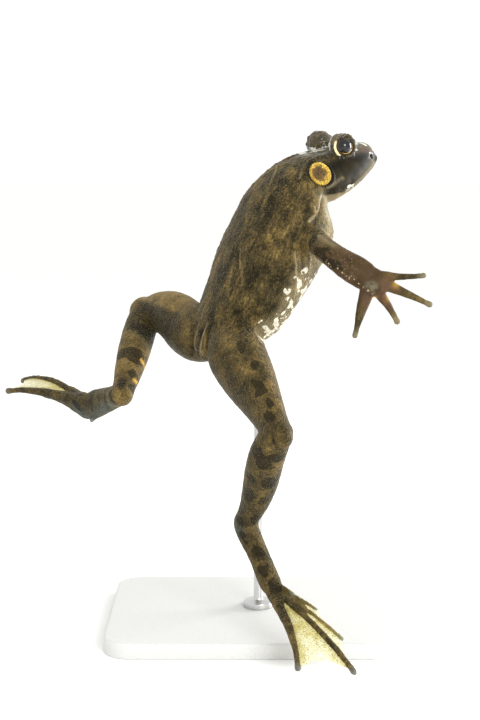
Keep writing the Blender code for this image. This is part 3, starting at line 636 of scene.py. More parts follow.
# Soft tones on the right of the head: points, half width, amount; darker first, then lighter
HEAD_DARKER = (
    (((39.3, -12.8, 233.3), (47.5, -7.8, 234.0), (53.5, -1.4, 237.8)), 1.8, 0.9),
)
HEAD_LIGHTER = (
    (((39.7, -12.6, 234.9), (43.7, -10.0, 237.2), (48.0, -5.7, 239.9)), 0.9, 0.45),
    (((66.3, 16.9, 247.1), (62.3, 10.2, 242.6), (55.6, 1.6, 236.6)), 2.4, 0.6),
    (((37.0, -15.5, 232.0), (35.0, -18.0, 227.0)), 3.4, 0.30),
    (((38.5, -14.0, 221.0), (41.5, -11.0, 213.5)), 5.0, 0.80),
)

# Pale granular places on the head: a white patch on the lower jaw, then painted wet highlights behind the
# near eye and below the far eye: points, half width, amount
PALE_PATCH_AND_PAINTED_HIGHLIGHTS = (
    (((51.0, -4.8, 234.7), (54.0, -1.2, 235.6)), 1.7, 0.85),
    (((43.3, 9.2, 261.4), (40.9, 5.2, 257.2), (38.8, 2.4, 252.1)), 1.5, 0.72),
    (((26.1, 18.3, 252.8), (32.2, 12.9, 253.0), (38.5, 13.5, 254.3)), 3.0, 0.72),
)

# Dark patches and the rosy lip on top of the snout
DARK_ON_SNOUT = (((57.4, 12.0, 256.8), 1.4), ((60.8, 17.6, 256.4), 2.2), ((64.6, 21.0, 255.2), 1.8))
LIP_LINE = ((56.4, 9.4, 253.4), (58.6, 12.7, 253.6), (63.0, 16.8, 253.4), (67.3, 24.8, 252.4))

# Softly darker places on the right of the back: point, half width, amount
BACK_DARKER = (
    ((6.4, -20.5, 217.6), 5.0, 0.26), ((-0.7, -25.1, 200.6), 5.5, 0.26), ((-8.9, -11.9, 206.5), 5.0, 0.24),
    ((-5.1, -4.4, 219.5), 6.0, 0.24), ((10.8, -18.1, 226.1), 5.0, 0.15),
)

# Blue-grey places on the ankle and along the sole of the left foot: points, half width
COOL_EDGES = (
    (((-5.7, -40.4, 61.9), (-8.0, -37.0, 58.0)), 4.0),
    (((-96.6, 31.0, 112.9), (-90.7, 28.0, 108.6), (-86.7, 23.8, 107.2), (-80.9, 14.3, 113.1),
      (-74.5, 3.3, 119.0)), 4.2),
)

# Single places on the right hand, the left heel and the right upper arm
FINGER_GLOWS = ((60.9, -51.1, 182.3), (67.3, -51.2, 182.0), (71.2, -52.7, 188.7))
SPUR_TIP = (-86.8, 25.0, 106.2)
UPPER_ARM_LIGHT = ((33.8, -34.8, 211.7), (37.5, -41.1, 209.7), (41.0, -43.0, 207.4))

# How much lighter each length of a leg is, from the thigh to the foot
LEG_LIFTS = {"right": (0.07, -0.03, -0.02, 0.0), "left": (0.04, 0.26, -0.08, -0.08)}


def field(points, ragged):
    """Dark marks laid on the bones: above one half inside a mark, with ragged edges."""
    out = np.zeros(len(points))
    for name, rows in DARK_MARKS.items():
        start, end, reach = BONES[name]
        fraction, across, away, length = along_bone(points, start, end)
        close = smooth(away, reach * 1.5, reach * 1.25)
        for at, offset, half_long, half_wide in rows:
            d = np.hypot((fraction - at) * length / half_long, (across - offset) / half_wide)
            size = min(half_long, half_wide)
            out = np.maximum(out, close * unit(0.5 + (1.0 - d) * size * 0.28 + ragged * 0.36))
    return out


def read_points(mesh, what):
    values = np.empty(len(mesh.vertices) * 3, np.float32)
    mesh.vertices.foreach_get(what, values)
    return values.reshape(-1, 3).astype(float)


def write_paints(mesh, amounts):
    """The amounts painted on each point, none where nothing is given."""
    none = np.zeros(len(mesh.vertices))
    for name, parts in PAINTS.items():
        layer = mesh.attributes.new(name, "FLOAT_COLOR", "POINT")
        values = unit(np.stack([amounts.get(part, none) for part in parts], 1))
        layer.data.foreach_set("color", values.astype(np.float32).ravel())


def even_out(made):
    """Levels the thick parts of the body below the head, and leaves the thin toes and fingers."""
    points = read_points(made.data, "co")
    thick = points[:, 2] < NECK_HEIGHT
    for side in ("right", "left"):
        for root, rows in ((JOINTS["wrist_" + side], FINGERS[side]), (JOINTS["sole_" + side], TOES[side])):
            for row in rows:
                thick &= along_bone(points, root, row[0])[2] > DIGIT_FLESH
    group = made.vertex_groups.new(name="thick")
    group.add(np.flatnonzero(thick).tolist(), 1.0, "REPLACE")
    change(made, "level", "SMOOTH", factor=0.5, iterations=14, vertex_group="thick")
    settle(made)


# What is painted on each point of the skin, four amounts to a name
PAINTS = {
    "markings": ("dark", "pale", "warm", "wet"),
    # The second tint is painted shade: dark in creases, grooves and holes
    "tints": ("rosy", "crease", "gold", "light"),
    "tones": ("shade", "dots", "glow", "smooth_skin"),
    # Among the touches, the yellow one is a painted glow of light through the thin first toes
    "touches": ("cool", "calm", "yellow", "red"),
}


class Skin:
    """The points of the skin: where each lies, how far it moves out, and the amounts painted on it."""

    def __init__(self, mesh):
        self.points, self.facing = read_points(mesh, "co"), read_points(mesh, "normal")
        for name in ("out", "on_legs", "smooth_hand", *sum(PAINTS.values(), ())):
            setattr(self, name, np.zeros(len(self.points)))
        for name, (size, seed) in NOISES.items():
            setattr(self, name, grain(self.points, size, seed))
        self.place_on_head()
        self.place_on_torso()

    def place_on_head(self):
        """Back from the snout, up, and above the mouth, with one where a point belongs to the head."""
        away = self.points - np.array(SNOUT)
        left = away @ np.array(HEAD_LEFT)
        self.back, self.up = -(away @ np.array(HEAD_FORWARD)), away @ np.array(HEAD_UP)
        rows = np.array(spline(HEAD_ROWS, 8))
        wide, mouth = (np.interp(self.back, rows[:, 0], rows[:, column]) for column in (1, 3))
        self.above = self.up - mouth
        self.on_head = smooth(self.back, 58.0, 52.0) * (self.back > -4)
        self.on_head = self.on_head * (np.abs(left) < wide + 4) * (self.up > -19)

    def place_on_torso(self):
        """The nearest section of the torso, how far towards the back, and one where it is the torso."""
        rows = np.array(spline(TORSO_ROWS, 5))
        middles = rows[:, :3]
        self.nearest = np.argmin(((self.points[:, None, :] - middles[None, :, :]) ** 2).sum(2), axis=1)
        row = rows[self.nearest]
        ups = np.array([heading(TORSO_YAW, pitch)[2] for pitch in rows[:, 3]])[self.nearest]
        from_spine = self.points - row[:, :3]
        rise = (from_spine * ups).sum(1)
        self.dorsal = rise / np.where(rise > 0, row[:, 5], row[:, 6])
        flank = from_spine @ np.array(heading(TORSO_YAW, 0)[1]) / row[:, 4]
        self.on_torso = smooth(np.hypot(self.dorsal, flank), 1.35, 1.15) * (1 - self.on_head)

    def most(self, **amounts):
        """Paints each amount wherever it is more than what is there."""
        for name, amount in amounts.items():
            setattr(self, name, np.maximum(getattr(self, name), amount))

    def away_from(self, at):
        return np.linalg.norm(self.points - np.array(at), axis=1)

    def spot(self, at, width):
        return near(self.away_from(at), width)

    def stroke(self, path, width):
        return near(path_distance(self.points, path), width)

    def bone(self, name):
        """Where each point lies along a bone, and one where it belongs to it."""
        start, end, reach = BONES[name]
        fraction, across, away, length = along_bone(self.points, start, end)
        return fraction, across, away, length, smooth(away, reach * 1.4, reach)


def open_eyelids(skin):
    """Eyelids that open round the eyes, with a raised edge and small bumps on top."""
    for sign in (-1, 1):
        eye, look = np.array(eye_middle(sign)), np.array(eye_look(sign))
        from_eye = skin.points - eye
        reach = np.linalg.norm(from_eye, axis=1)
        angle = np.degrees(np.arccos(np.clip(from_eye @ look / reach, -1, 1)))
        round_it = from_eye - np.outer(from_eye @ look, look)
        round_it = round_it / np.maximum(np.linalg.norm(round_it, axis=1), 1e-6)[:, None]
        upward, rearward = round_it @ np.array(HEAD_UP), -(round_it @ np.array(HEAD_FORWARD))
        open_to = opening(rearward, upward)
        close = reach < LID_REACH
        hole = smooth(angle, open_to + 4.0, open_to - 4.0) * close
        opened = eye + from_eye * (1 - hole * (1 - LID_HOLLOW / reach))[:, None]
        skin.points = np.where(close[:, None], opened, skin.points)
        by_lid = smooth(reach, 8.8, 7.8)
        skin.out += 0.35 * near(angle - open_to - 6.0, 4.0) * by_lid
        skin.warm += 0.14 * by_lid
        # Painted shade in the crease just beyond the eyelid's edge
        skin.most(crease=0.5 * by_lid * near(angle - open_to - 9.0, 3.0))
        skin.out += 0.25 * by_lid * smooth(skin.up, 8.0, 11.0) * skin.tiny


def carve_head(skin):
    """The line of the mouth, the nostrils and the seats of the ear drums."""
    line = near(skin.above, 0.5) * skin.on_head * smooth(skin.back, 50.0, 46.0)
    skin.out -= MOUTH_DEPTH * line
    # The mouth's groove painted dark, as shade
    skin.most(crease=line)
    for sign in (-1, 1):
        hole = skin.spot(on_skin(*NOSTRIL_AT, sign)[0], 1.0)
        skin.out -= NOSTRIL_DEPTH * hole
        # The nostril painted dark, as shade in the hole
        skin.most(crease=hole)
        at, face, across, upright = (np.array(value) for value in ear_frame(sign))
        from_ear = skin.points - at
        height = from_ear @ face
        radius = np.hypot(from_ear @ across / EAR_SHAPE[0], from_ear @ upright / EAR_SHAPE[1])
        level = (np.abs(height) < 5) * smooth(radius, 9.5, 8.0)
        seat = smooth(radius, 7.2, 6.2) * (np.abs(height) < 5)
        skin.points = skin.points - np.outer(seat * (height + 0.5), face)
        skin.out = skin.out * (1 - seat) + 0.45 * near(radius - 7.8, 0.8) * level
        # A dark ring painted as shade in the hollow round the seat of the ear drum
        skin.most(crease=0.85 * smooth(radius, 8.0, 6.9) * level)


def paint_head(skin):
    """Dark smooth sides, a tan lower jaw with a white patch, and a wet top with pale granules that are
    painted wet highlights, on the snout mixed with pale skin.
    """
    high, small, tiny = skin.points[:, 2], skin.small, skin.tiny
    snout_top = skin.on_head * smooth(high, *SNOUT_TOP_BAND) * smooth(skin.back, 26.0, 22.0)
    sides = skin.on_head * smooth(skin.above, 0.0, 1.5) * smooth(skin.up, 11.0, 6.0)
    sides = sides * smooth(skin.back, 50.0, 42.0)
    skin.most(shade=sides)
    skin.most(shade=0.6 * skin.on_head * smooth(skin.up, 6.0, 9.0) * smooth(small, -0.4, 0.1))
    skin.shade *= 1 - 0.8 * snout_top
    jaw = skin.on_head * smooth(skin.above, 0.2, -0.8)
    skin.warm += 0.2 * jaw
    skin.most(light=0.5 * jaw)
    skin.wet = smooth(high, *WET_BAND)
    # A white patch on the jaw and painted wet highlights round the eyes, pale with ragged edges
    for path, width, amount in PALE_PATCH_AND_PAINTED_HIGHLIGHTS:
        spread = skin.stroke(path, width)
        skin.most(pale=unit(amount * spread + 0.22 * small + 0.25 * tiny) * (spread > 0.1))
    for sign in (-1, 1):
        snout_top *= smooth(skin.away_from(eye_middle(sign)), 8.0, 9.2)
    # Pale patches on top of the snout between dark ones: partly pale skin, partly painted wet highlights
    patchy = 0.54 + 0.45 * grain(skin.points, 2.6, 6.1) + 0.25 * tiny
    for at, width in DARK_ON_SNOUT:
        patchy -= 0.7 * skin.spot(at, width)
    skin.most(pale=unit(patchy) * snout_top)
    # A painted wet highlight along the lower part of the far eye's lid
    far_lid_highlight = near(skin.away_from(eye_middle(1)) - 8.2, 2.6)
    far_lid_highlight *= smooth(high, 257.8, 254.8) * (high > 250)
    skin.most(pale=unit((0.72 + 0.35 * tiny + 0.25 * small) * far_lid_highlight))
    lip = skin.stroke(LIP_LINE, 0.8)
    skin.pale *= 1 - lip
    skin.most(rosy=lip, cool=0.14 * skin.wet)
    skin.jaw, skin.sides = jaw, sides


def paint_torso(skin):
    """A mottled and streaked back, a belly with cream patches, and a granular chest."""
    small, tiny, nearest = skin.small, skin.tiny, skin.nearest
    streaks = grain(skin.points, 5.5, 5.5, SPINE_WAY)
    blotches = 0.5 * grain(skin.points, 5.0, 2.2)
    mottle = 0.45 * skin.lumps + 0.3 * small + np.where(skin.on_torso > 0.5, 0.6 * streaks, blotches)
    skin.warm += 0.47 + 0.32 * mottle - 0.10 * smooth(nearest, 34.0, 46.0) * skin.on_torso
    for at, width, amount in BACK_DARKER:
        skin.warm -= amount * skin.spot(at, width) * (1 + 0.6 * small)
    skin.most(shade=skin.on_torso * 0.42 * smooth(-mottle, 0.2, 0.6))
    shift = np.interp(nearest, (20, 26, 34, 45), (0.10, -0.02, -0.08, -0.16))
    belly = smooth(-skin.dorsal + 0.12 * skin.lumps, shift - 0.06, shift + 0.34) * skin.on_torso
    blots = 1.5 * cells(skin.points, BELLY_PATCH, belly > 0.02, SPINE_WAY) + 1.1 * small + 0.5 * tiny
    fewer = np.interp(nearest, (22, 26, 33, 40), (1.5, 0.45, 0.0, 0.0))
    near_edge = 0.9 * (belly - 0.6) + 0.25 * smooth(belly, 0.9, 1.0)
    blots = blots - BELLY_PATCHES_ABOVE - fewer + near_edge
    skin.most(pale=unit(0.5 + blots * 0.9) * (belly > 0.02))
    skin.most(light=0.40 * belly)
    chest = belly * smooth(nearest, 24.0, 20.0) * (nearest > 8)
    skin.most(light=chest * (0.70 + 0.3 * streaks))
    skin.out += chest * 0.35 * np.abs(grain(skin.points, 2.4, 4.2))


def fold_skin(skin):
    """Folds and creases with painted shade in the creases, and the soft tones that lie along the head and the
    left foot.
    """
    folds = list(FOLDS) + list(NECK_FOLDS)
    folds += [([other_side(point) for point in path], *rest) for path, *rest in FOLDS[:FOLDS_ON_BOTH_SIDES]]
    for path, width, high, lit in folds:
        distance = np.abs(path_distance(skin.points, path) + 0.35 * skin.small)
        skin.out += 0.8 * high * near(distance, width)
        # Grooves are painted darker, as shade in the crease
        if high < 0:
            skin.most(crease=0.55 * near(distance, width * 0.8))
        skin.most(light=1.3 * lit * near(distance, 0.55))
        if lit > 0.7:
            skin.most(pale=(0.55 * lit + 0.2 * skin.small) * near(distance, 0.6))
    for path, width, amount in HEAD_DARKER:
        skin.most(shade=amount * skin.stroke(path, width))
    for path, width, amount in HEAD_LIGHTER:
        spread = skin.stroke(path, width)
        skin.most(light=amount * spread, cool=0.25 * spread * skin.on_head)
        skin.shade = skin.shade * (1 - 0.7 * spread)
    for path, width in COOL_EDGES:
        spread = skin.stroke(path, width)
        skin.most(cool=0.9 * spread, light=spread * (0.16 + 0.25 * skin.tiny))


def paint_leg(skin, side):
    """The tone of each length of the leg, and a thigh that is darker behind."""
    right = side == "right"
    for name, lift in zip(("thigh_", "shank_", "tarsus_", "foot_"), LEG_LIFTS[side]):
        _, _, away, _, close = skin.bone(name + side)
        reach = BONES[name + side][2]
        skin.warm += lift * close
        on_leg = smooth(away, reach * 1.5, reach * 1.2) * (1 - skin.on_torso)
        skin.most(on_legs=on_leg, calm=on_leg * (0.6 if right else 1.0))
    fraction, across, _, _, close = skin.bone("thigh_" + side)
    rear = close * smooth(-across * (1 if right else -1), 0.0, 6.0)
    skin.most(shade=0.45 * rear * smooth(fraction, -0.1, 0.15) * smooth(fraction, 1.0, 0.85))
    if not right:
        skin.warm += 0.34 * (close * smooth(-across + skin.small, 6.5, 9.0) * smooth(fraction, 0.1, 0.3))
        here = close * smooth(fraction, 0.1, 0.3) * smooth(fraction, 1.05, 0.9)
        under = here * smooth(across, 6.0, 10.0)
        skin.most(shade=0.88 * here * smooth(across + skin.small, -8.0, -5.5),
                  light=under * np.clip(0.15 + 0.6 * skin.tiny, 0.0, 0.6), cool=0.45 * under)


def paint_arm(skin, side):
    """A rosy forearm with a row of pale dots, and a mottled palm with a grey pad."""
    lumps, small, tiny = skin.lumps, skin.small, skin.tiny
    fraction, across, away, _, close = skin.bone("forearm_" + side)
    on_arm = close * smooth(fraction, -0.35, 0.05)
    skin.most(rosy=0.42 * on_arm, shade=on_arm * unit(0.20 + 0.35 * lumps + 0.25 * small),
              calm=on_arm, red=0.5 * on_arm * smooth(fraction, 0.95, 0.8),
              dots=on_arm * near(across + 4.4, 0.9) * smooth(fraction, 0.12, 0.25))
    palm = np.array(JOINTS["wrist_" + side]) * 0.62 + np.array(FINGERS[side][1][0]) * 0.38
    from_palm = skin.away_from(palm)
    in_palm = smooth(from_palm, 15.0, 7.0)
    skin.most(rosy=in_palm * unit(0.75 + 0.35 * tiny + 0.2 * small),
              shade=in_palm * unit(0.4 * small + 0.3 * tiny))
    pad_at = np.array(thumb_pad_at(side))
    from_pad = np.linalg.norm(skin.points - pad_at - np.array((0.8, 0.0, -1.4)), axis=1)
    on_pad = smooth(from_pad + 0.9 * small + 0.5 * tiny, 4.6, 3.2)
    skin.rosy = skin.rosy * (1 - 0.8 * on_pad)
    skin.shade = skin.shade * (1 - on_pad)
    # Painted shade in the crease under the thumb pad
    below = smooth(skin.points[:, 2] - pad_at[2], -0.5, -3.0)
    skin.most(light=on_pad * unit(0.24 + 0.3 * tiny), cool=0.3 * on_pad,
              crease=0.6 * near(from_pad - 4.8, 0.5) * smooth(away, 3.0, 5.0) * below,
              smooth_hand=smooth(from_palm, 36.0, 32.0) * smooth(fraction, 0.7, 0.95))


def paint_digits(skin, side):
    """Pale tips on the fingers and toes, and yellow along the first toes, painted as light shining through
    them.
    """
    for row in FINGERS[side] + TOES[side]:
        tip = skin.spot(row[0], 1.8 if row in TOES[side][:2] else 3.2)
        skin.most(light=0.6 * tip, cool=(0.8 if row in TOES[side] else 0.3) * tip)
    # Painted glow: yellow where light would shine through the first toes
    for row, amount in zip(TOES[side], (0.15, 0.35, 0.5)):
        fraction, _, away, _ = along_bone(skin.points, JOINTS["sole_" + side], row[0])
        skin.most(yellow=amount * smooth(away, 3.0, 1.6) * smooth(fraction, 0.5, 0.8))


def paint_places(skin):
    """A light heel spur, a light upper arm and two glowing patches on the left shank."""
    skin.most(light=skin.spot(SPUR_TIP, 2.2))
    upper = skin.stroke(UPPER_ARM_LIGHT, 2.2)
    skin.most(light=0.55 * upper)
    skin.rosy = skin.rosy * (1 - 0.9 * upper)
    fraction, across, away, length, _ = skin.bone("shank_left")
    for fraction_at, across_at in ((0.66, 6.9), (0.87, 5.1)):
        slant = across - across_at + 0.8 * (fraction - fraction_at) * length
        patch = np.hypot((fraction - fraction_at) * length / 1.2, slant / 2.0)
        patch = patch - 0.7 * skin.small - 0.3 * skin.tiny
        skin.most(glow=smooth(patch, 1.2, 0.7) * smooth(away, 15.0, 13.0))


def body_skin():
    """All the flesh fused into one skin, then shaped and painted point by point."""
    forms = [torso(), head()]
    for sign in (-1, 1):
        forms += [roll("lip", LIP_ROLL, sign, 0.7, 4), roll("ear_fold", EAR_FOLD, sign, 0.6, 5),
                  ball("lid", eye_middle(sign), (LID_RADIUS,) * 3)]
    for side in ("right", "left"):
        forms += leg(side) + arm(side) + hand(side) + toes(side)[0]
    made = join("skin", forms)
    change(made, "fuse", "REMESH", mode="VOXEL", voxel_size=VOXEL)
    change(made, "soften", "SMOOTH", factor=0.5, iterations=5)
    settle(made)
    even_out(made)
    skin = Skin(made.data)
    for shape in (open_eyelids, carve_head, paint_head, paint_torso, fold_skin):
        shape(skin)
    skin.most(dark=field(skin.points, 0.4 * skin.lumps + skin.small + 0.5 * skin.tiny))
    for at in FINGER_GLOWS:
        skin.most(glow=0.6 * skin.spot(at, 1.7))
    for side in ("right", "left"):
        for shape in (paint_leg, paint_arm, paint_digits):
            shape(skin, side)
    skin.smooth_skin = unit(skin.rosy * 1.6 + skin.jaw + skin.sides + 0.5 * skin.smooth_hand)
    paint_places(skin)

    # Small warts over the back, fewer on the legs
    wart = smooth(skin.tiny + 0.4 * skin.small, 0.35, 0.9)
    skin.out += WART_HEIGHT * wart * (1 - skin.smooth_skin) * (1 - 0.9 * skin.on_legs)
    skin.out += 0.10 * skin.small
    moved = skin.points + skin.facing * skin.out[:, None]
    made.data.vertices.foreach_set("co", moved.astype(np.float32).ravel())
    write_paints(made.data, {name: getattr(skin, name) for name in sum(PAINTS.values(), ())})
    made.data.update()
    change(made, "thin", "DECIMATE", ratio=min(1.0, SKIN_TRIANGLES / (2.0 * len(made.data.polygons))))
    return settle(made)


def opening(rearward, upward):
    """Half angle of the gap between the eyelids, wider in front and below."""
    return 47.0 + 23.0 * smooth(-rearward, 0.0, 0.8) + 7.0 * smooth(-upward, 0.3, 0.9)


def lid_rim(side, sign):
    """The smooth edge of the eyelids all round the opening, broad and cream behind the eye."""
    eye, look = eye_middle(sign), eye_look(sign)
    behind = -square_to(HEAD_FORWARD, look)
    above = square_to(HEAD_UP - look * HEAD_UP.dot(look), behind)
    bm = bmesh.new()
    pale = bm.verts.layers.float.new("pale")
    rings = []
    for k in range(72):
        turn = math.tau * k / 72
        way = behind * math.cos(turn) + above * math.sin(turn)
        gap = math.radians(float(opening(way.dot(-HEAD_FORWARD), way.dot(HEAD_UP))))
        broad = 0.35 + 0.55 * float(smooth(math.cos(turn + 0.12), 0.35, 0.8))
        gap += broad * 0.5 / LID_RADIUS
        outward = look * math.cos(gap) + way * math.sin(gap)
        slope = way * math.cos(gap) - look * math.sin(gap)
        middle = eye + outward * (EYE_RADIUS + 0.75)
        before = set(bm.verts)
        rings.append(ring(bm, middle, slope, outward, broad, 0.75, 0.75, 12))
        for vert in set(bm.verts) - before:
            vert[pale] = float(smooth(math.cos(turn + 0.12), 0.45, 0.7))
    for first, second in zip(rings, rings[1:] + rings[:1]):
        bmesh.ops.bridge_loops(bm, edges=first + second)
    bmesh.ops.recalc_face_normals(bm, faces=bm.faces)
    made = to_object(bm, "lid_rim_" + side)
    values = np.empty(len(made.data.vertices))
    made.data.attributes["pale"].data.foreach_get("value", values)
    full = np.ones(len(values))
    # The rim gets the creases' painted shade, half as strong, except on its cream part
    write_paints(made.data, {"warm": 0.45 * full, "wet": full, "crease": 0.5 * (1 - values), "gold": values,
                             "calm": full})
    return made


def web(line_a, line_b, reach_a, reach_b, sag, normal):
    """The thin skin between two toes, its free edge hollowed towards the root."""
    bm = bmesh.new()
    outward = bm.verts.layers.float.new("outward")
    bmesh.ops.create_grid(bm, x_segments=44, y_segments=20, size=1.0)

    def on(line, fraction):
        at = min(max(fraction, 0.0), 1.0) * (len(line) - 1)
        low = min(int(at), len(line) - 2)
        return line[low].lerp(line[low + 1], at - low)

    for vert in bm.verts:
        s, u = (vert.co.x + 1) / 2, (vert.co.y + 1) / 2
        part = 0.06 + s * ((reach_a * (1 - u) + reach_b * u) * (1 - sag * 4 * u * (1 - u)) - 0.06)
        at = on(line_a, part).lerp(on(line_b, part), u)
        slack = math.sin(math.pi * u) * (0.25 + 0.5 * noise.noise(Vector((s * 2.0, u * 5.0, line_a[0].x))))
        vert.co = at + normal * slack
        vert[outward] = s * math.sin(math.pi * min(max(u, 0.08), 0.92)) ** 0.5
    bmesh.ops.translate(bm, vec=normal * (WEB_THICK / 2), verts=bm.verts)
    pulled = bmesh.ops.extrude_face_region(bm, geom=bm.faces[:])["geom"]
    under = [part for part in pulled if isinstance(part, bmesh.types.BMVert)]
    bmesh.ops.translate(bm, vec=normal * -WEB_THICK, verts=under)
    bmesh.ops.recalc_face_normals(bm, faces=bm.faces)
    return to_object(bm, "web")


def webs(side):
    """The webs of one foot, from the fifth toe to the first."""
    parts, lines = toes(side)
    for part in parts:
        bpy.data.objects.remove(part, do_unlink=True)
    normal = foot_axes(side)[2]
    spans = ((4, 0.97, 0.93, 0.22), (3, 0.80, 0.97, 0.10), (2, 0.72, 0.92, 0.14), (1, 0.70, 0.90, 0.14))
    return join("webs_" + side, [web(lines[toe], lines[toe - 1], reach, next_reach, sag, normal)
                                 for toe, reach, next_reach, sag in spans])


def eyeball(side, sign):
    """A round eye with a clear bulge over the pupil."""
    eye, look = eye_middle(sign), eye_look(sign, PUPIL_LOOK)
    ahead = square_to(HEAD_FORWARD, look)
    made = ball("eyeball_" + side, eye, (EYE_RADIUS,) * 3, (ahead, look.cross(ahead), look), 64)
    for vert in made.data.vertices:
        away = (vert.co - eye).normalized()
        bulge = max(0.0, away.dot(look) - 0.80) / 0.20
        vert.co += away * (0.5 * bulge)
    return made


def ear_drum(side, sign):
    """An oval ear drum: granular ring, sunken centre, raised rim."""
    at, face, across, upright = ear_frame(sign)
    bm = bmesh.new()
    profile = ((6.3, -1.6), (6.35, -0.4), (6.2, 0.15), (5.8, 0.5), (5.2, 0.62), (4.6, 0.5), (4.0, 0.25),
               (3.3, 0.05), (2.4, 0.1), (1.4, 0.25), (0.5, 0.3))
    wide, high = EAR_SHAPE
    rings = [ring(bm, at + face * rise, across, upright, size * wide, size * high, size * high, 96)
             for size, rise in spline(profile, 4)]
    made = close_loft(bm, rings, "ear_drum_" + side)
    for vert in made.data.vertices:
        vert.co += face * (0.2 * noise.noise(vert.co / 0.8) + 0.14 * noise.noise(vert.co / 2.0))
    return made


# Paints
def add(tree, kind, values=None, **settings):
    node = tree.nodes.new(kind)
    for name, value in settings.items():
        setattr(node, name, value)
    for name, value in (values or {}).items():
        node.inputs[name].default_value = value
    return node


def feed(socket, value):
    """A link when the value is a socket, and the plain value when it isn't."""
    if isinstance(value, bpy.types.NodeSocket):
        socket.id_data.links.new(value, socket)
    else:
        socket.default_value = value


def figure(way, *values):
    """One step of arithmetic on sockets and plain values."""
    tree = next(value.id_data for value in values if isinstance(value, bpy.types.NodeSocket))
    node = add(tree, "ShaderNodeMath", operation=way)
    for socket, value in zip(node.inputs, values):
        feed(socket, value)
    return node.outputs[0]


def times(first, second):
    return figure("MULTIPLY", first, second)


def times_plus(first, second, third):
    return figure("MULTIPLY_ADD", first, second, third)


def wash(colour, amount, strength, over, way="MIX"):
    """A colour laid over another where the amount says, up to its strength."""
    node = add(colour.id_data, "ShaderNodeMix", data_type="RGBA", blend_type=way)
    factor = amount if strength == 1.0 else times(amount, strength)
    for socket, value in ((node.inputs[0], factor), (node.inputs[6], colour), (node.inputs[7], (*over, 1.0))):
        feed(socket, value)
    return node.outputs[2]


def step(value, low, high):
    """A soft step from zero at low to one at high."""
    node = add(value.id_data, "ShaderNodeMapRange", {"From Min": low, "From Max": high},
               interpolation_type="SMOOTHSTEP")
    feed(node.inputs["Value"], value)
    return node.outputs["Result"]


def ramp(value, stops):
    """A colour read off a scale of positions."""
    node = add(value.id_data, "ShaderNodeValToRGB")
    feed(node.inputs[0], value)
    scale = node.color_ramp.elements
    while len(scale) < len(stops):
        scale.new(1.0)
    for element, (position, colour) in zip(scale, stops):
        element.position = position
        element.color = (*colour, 1.0)
    return node.outputs[0]


def channels(tree, name):
    """The four amounts painted on each point under one name."""
    painted = add(tree, "ShaderNodeAttribute", attribute_name=name)
    parts = add(tree, "ShaderNodeSeparateColor")
    feed(parts.inputs[0], painted.outputs["Color"])
    return [*parts.outputs, painted.outputs["Alpha"]]


def specks(place, scale, detail, rough=0.5):
    """Fine noise over the place of each point."""
    node = add(place.id_data, "ShaderNodeTexNoise", {"Scale": scale, "Detail": detail, "Roughness": rough})
    feed(node.inputs["Vector"], place)
    return node.outputs["Fac"]


def place_in(tree):
    return add(tree, "ShaderNodeTexCoord").outputs["Object"]


def granules():
    """Small skin granules: their tops, a patchy tone, some picked out, and a height for bumps."""
    group = bpy.data.node_groups.new("skin granules", "ShaderNodeTree")
    spacing = group.interface.new_socket("Spacing", in_out="INPUT", socket_type="NodeSocketFloat")
    spacing.default_value = SKIN_SPACING
    for name in ("Tops", "Tone", "Streaks", "Picked", "Height"):
        group.interface.new_socket(name, in_out="OUTPUT", socket_type="NodeSocketFloat")
    inside, outside = add(group, "NodeGroupInput"), add(group, "NodeGroupOutput")
    place = place_in(group)
    cell = add(group, "ShaderNodeTexVoronoi", {"Randomness": 0.95}, feature="F1")
    feed(cell.inputs["Vector"], place)
    feed(cell.inputs["Scale"], inside.outputs["Spacing"])
    tone = specks(place, SKIN_SPACING, 3.0, 0.65)
    feed(tone.node.inputs["Scale"], times(inside.outputs["Spacing"], 0.95))
    turned = add(group, "ShaderNodeMapping", vector_type="TEXTURE")
    turned.inputs["Rotation"].default_value = UP.rotation_difference(SPINE_WAY).to_euler()
    turned.inputs["Scale"].default_value = (1.0, 1.0, 3.4)
    feed(turned.inputs["Vector"], place)
    parts = add(group, "ShaderNodeSeparateColor")
    feed(parts.inputs[0], cell.outputs["Color"])
    tops = step(cell.outputs["Distance"], 0.62, 0.12)
    made = {"Tops": tops, "Tone": tone, "Streaks": specks(turned.outputs["Vector"], 560.0, 4.0, 0.75),
            "Picked": times(tops, step(parts.outputs[0], 0.60, 0.75)), "Height": times_plus(tone, 0.6, tops)}
    for name, value in made.items():
        feed(outside.inputs[name], value)
    return group


GRANULES = granules()


def grains_in(tree, spacing):
    made = add(tree, "ShaderNodeGroup", {}, node_tree=GRANULES)
    made.inputs["Spacing"].default_value = spacing
    return made.outputs


def paint(name, **plain):
    """A material, its shader, and the values that are the same all over it."""
    made = bpy.data.materials.new(name)
    made.use_nodes = True
    tree = made.node_tree
    shader = next(node for node in tree.nodes if node.type == "BSDF_PRINCIPLED")
    for socket, value in plain.items():
        shader.inputs[socket.replace("_", " ")].default_value = value
    return made, tree, shader


def bump(shader, height, strength, distance):
    node = add(shader.id_data, "ShaderNodeBump", {"Strength": strength, "Distance": distance})
    feed(node.inputs["Height"], height)
    feed(shader.inputs["Normal"], node.outputs["Normal"])


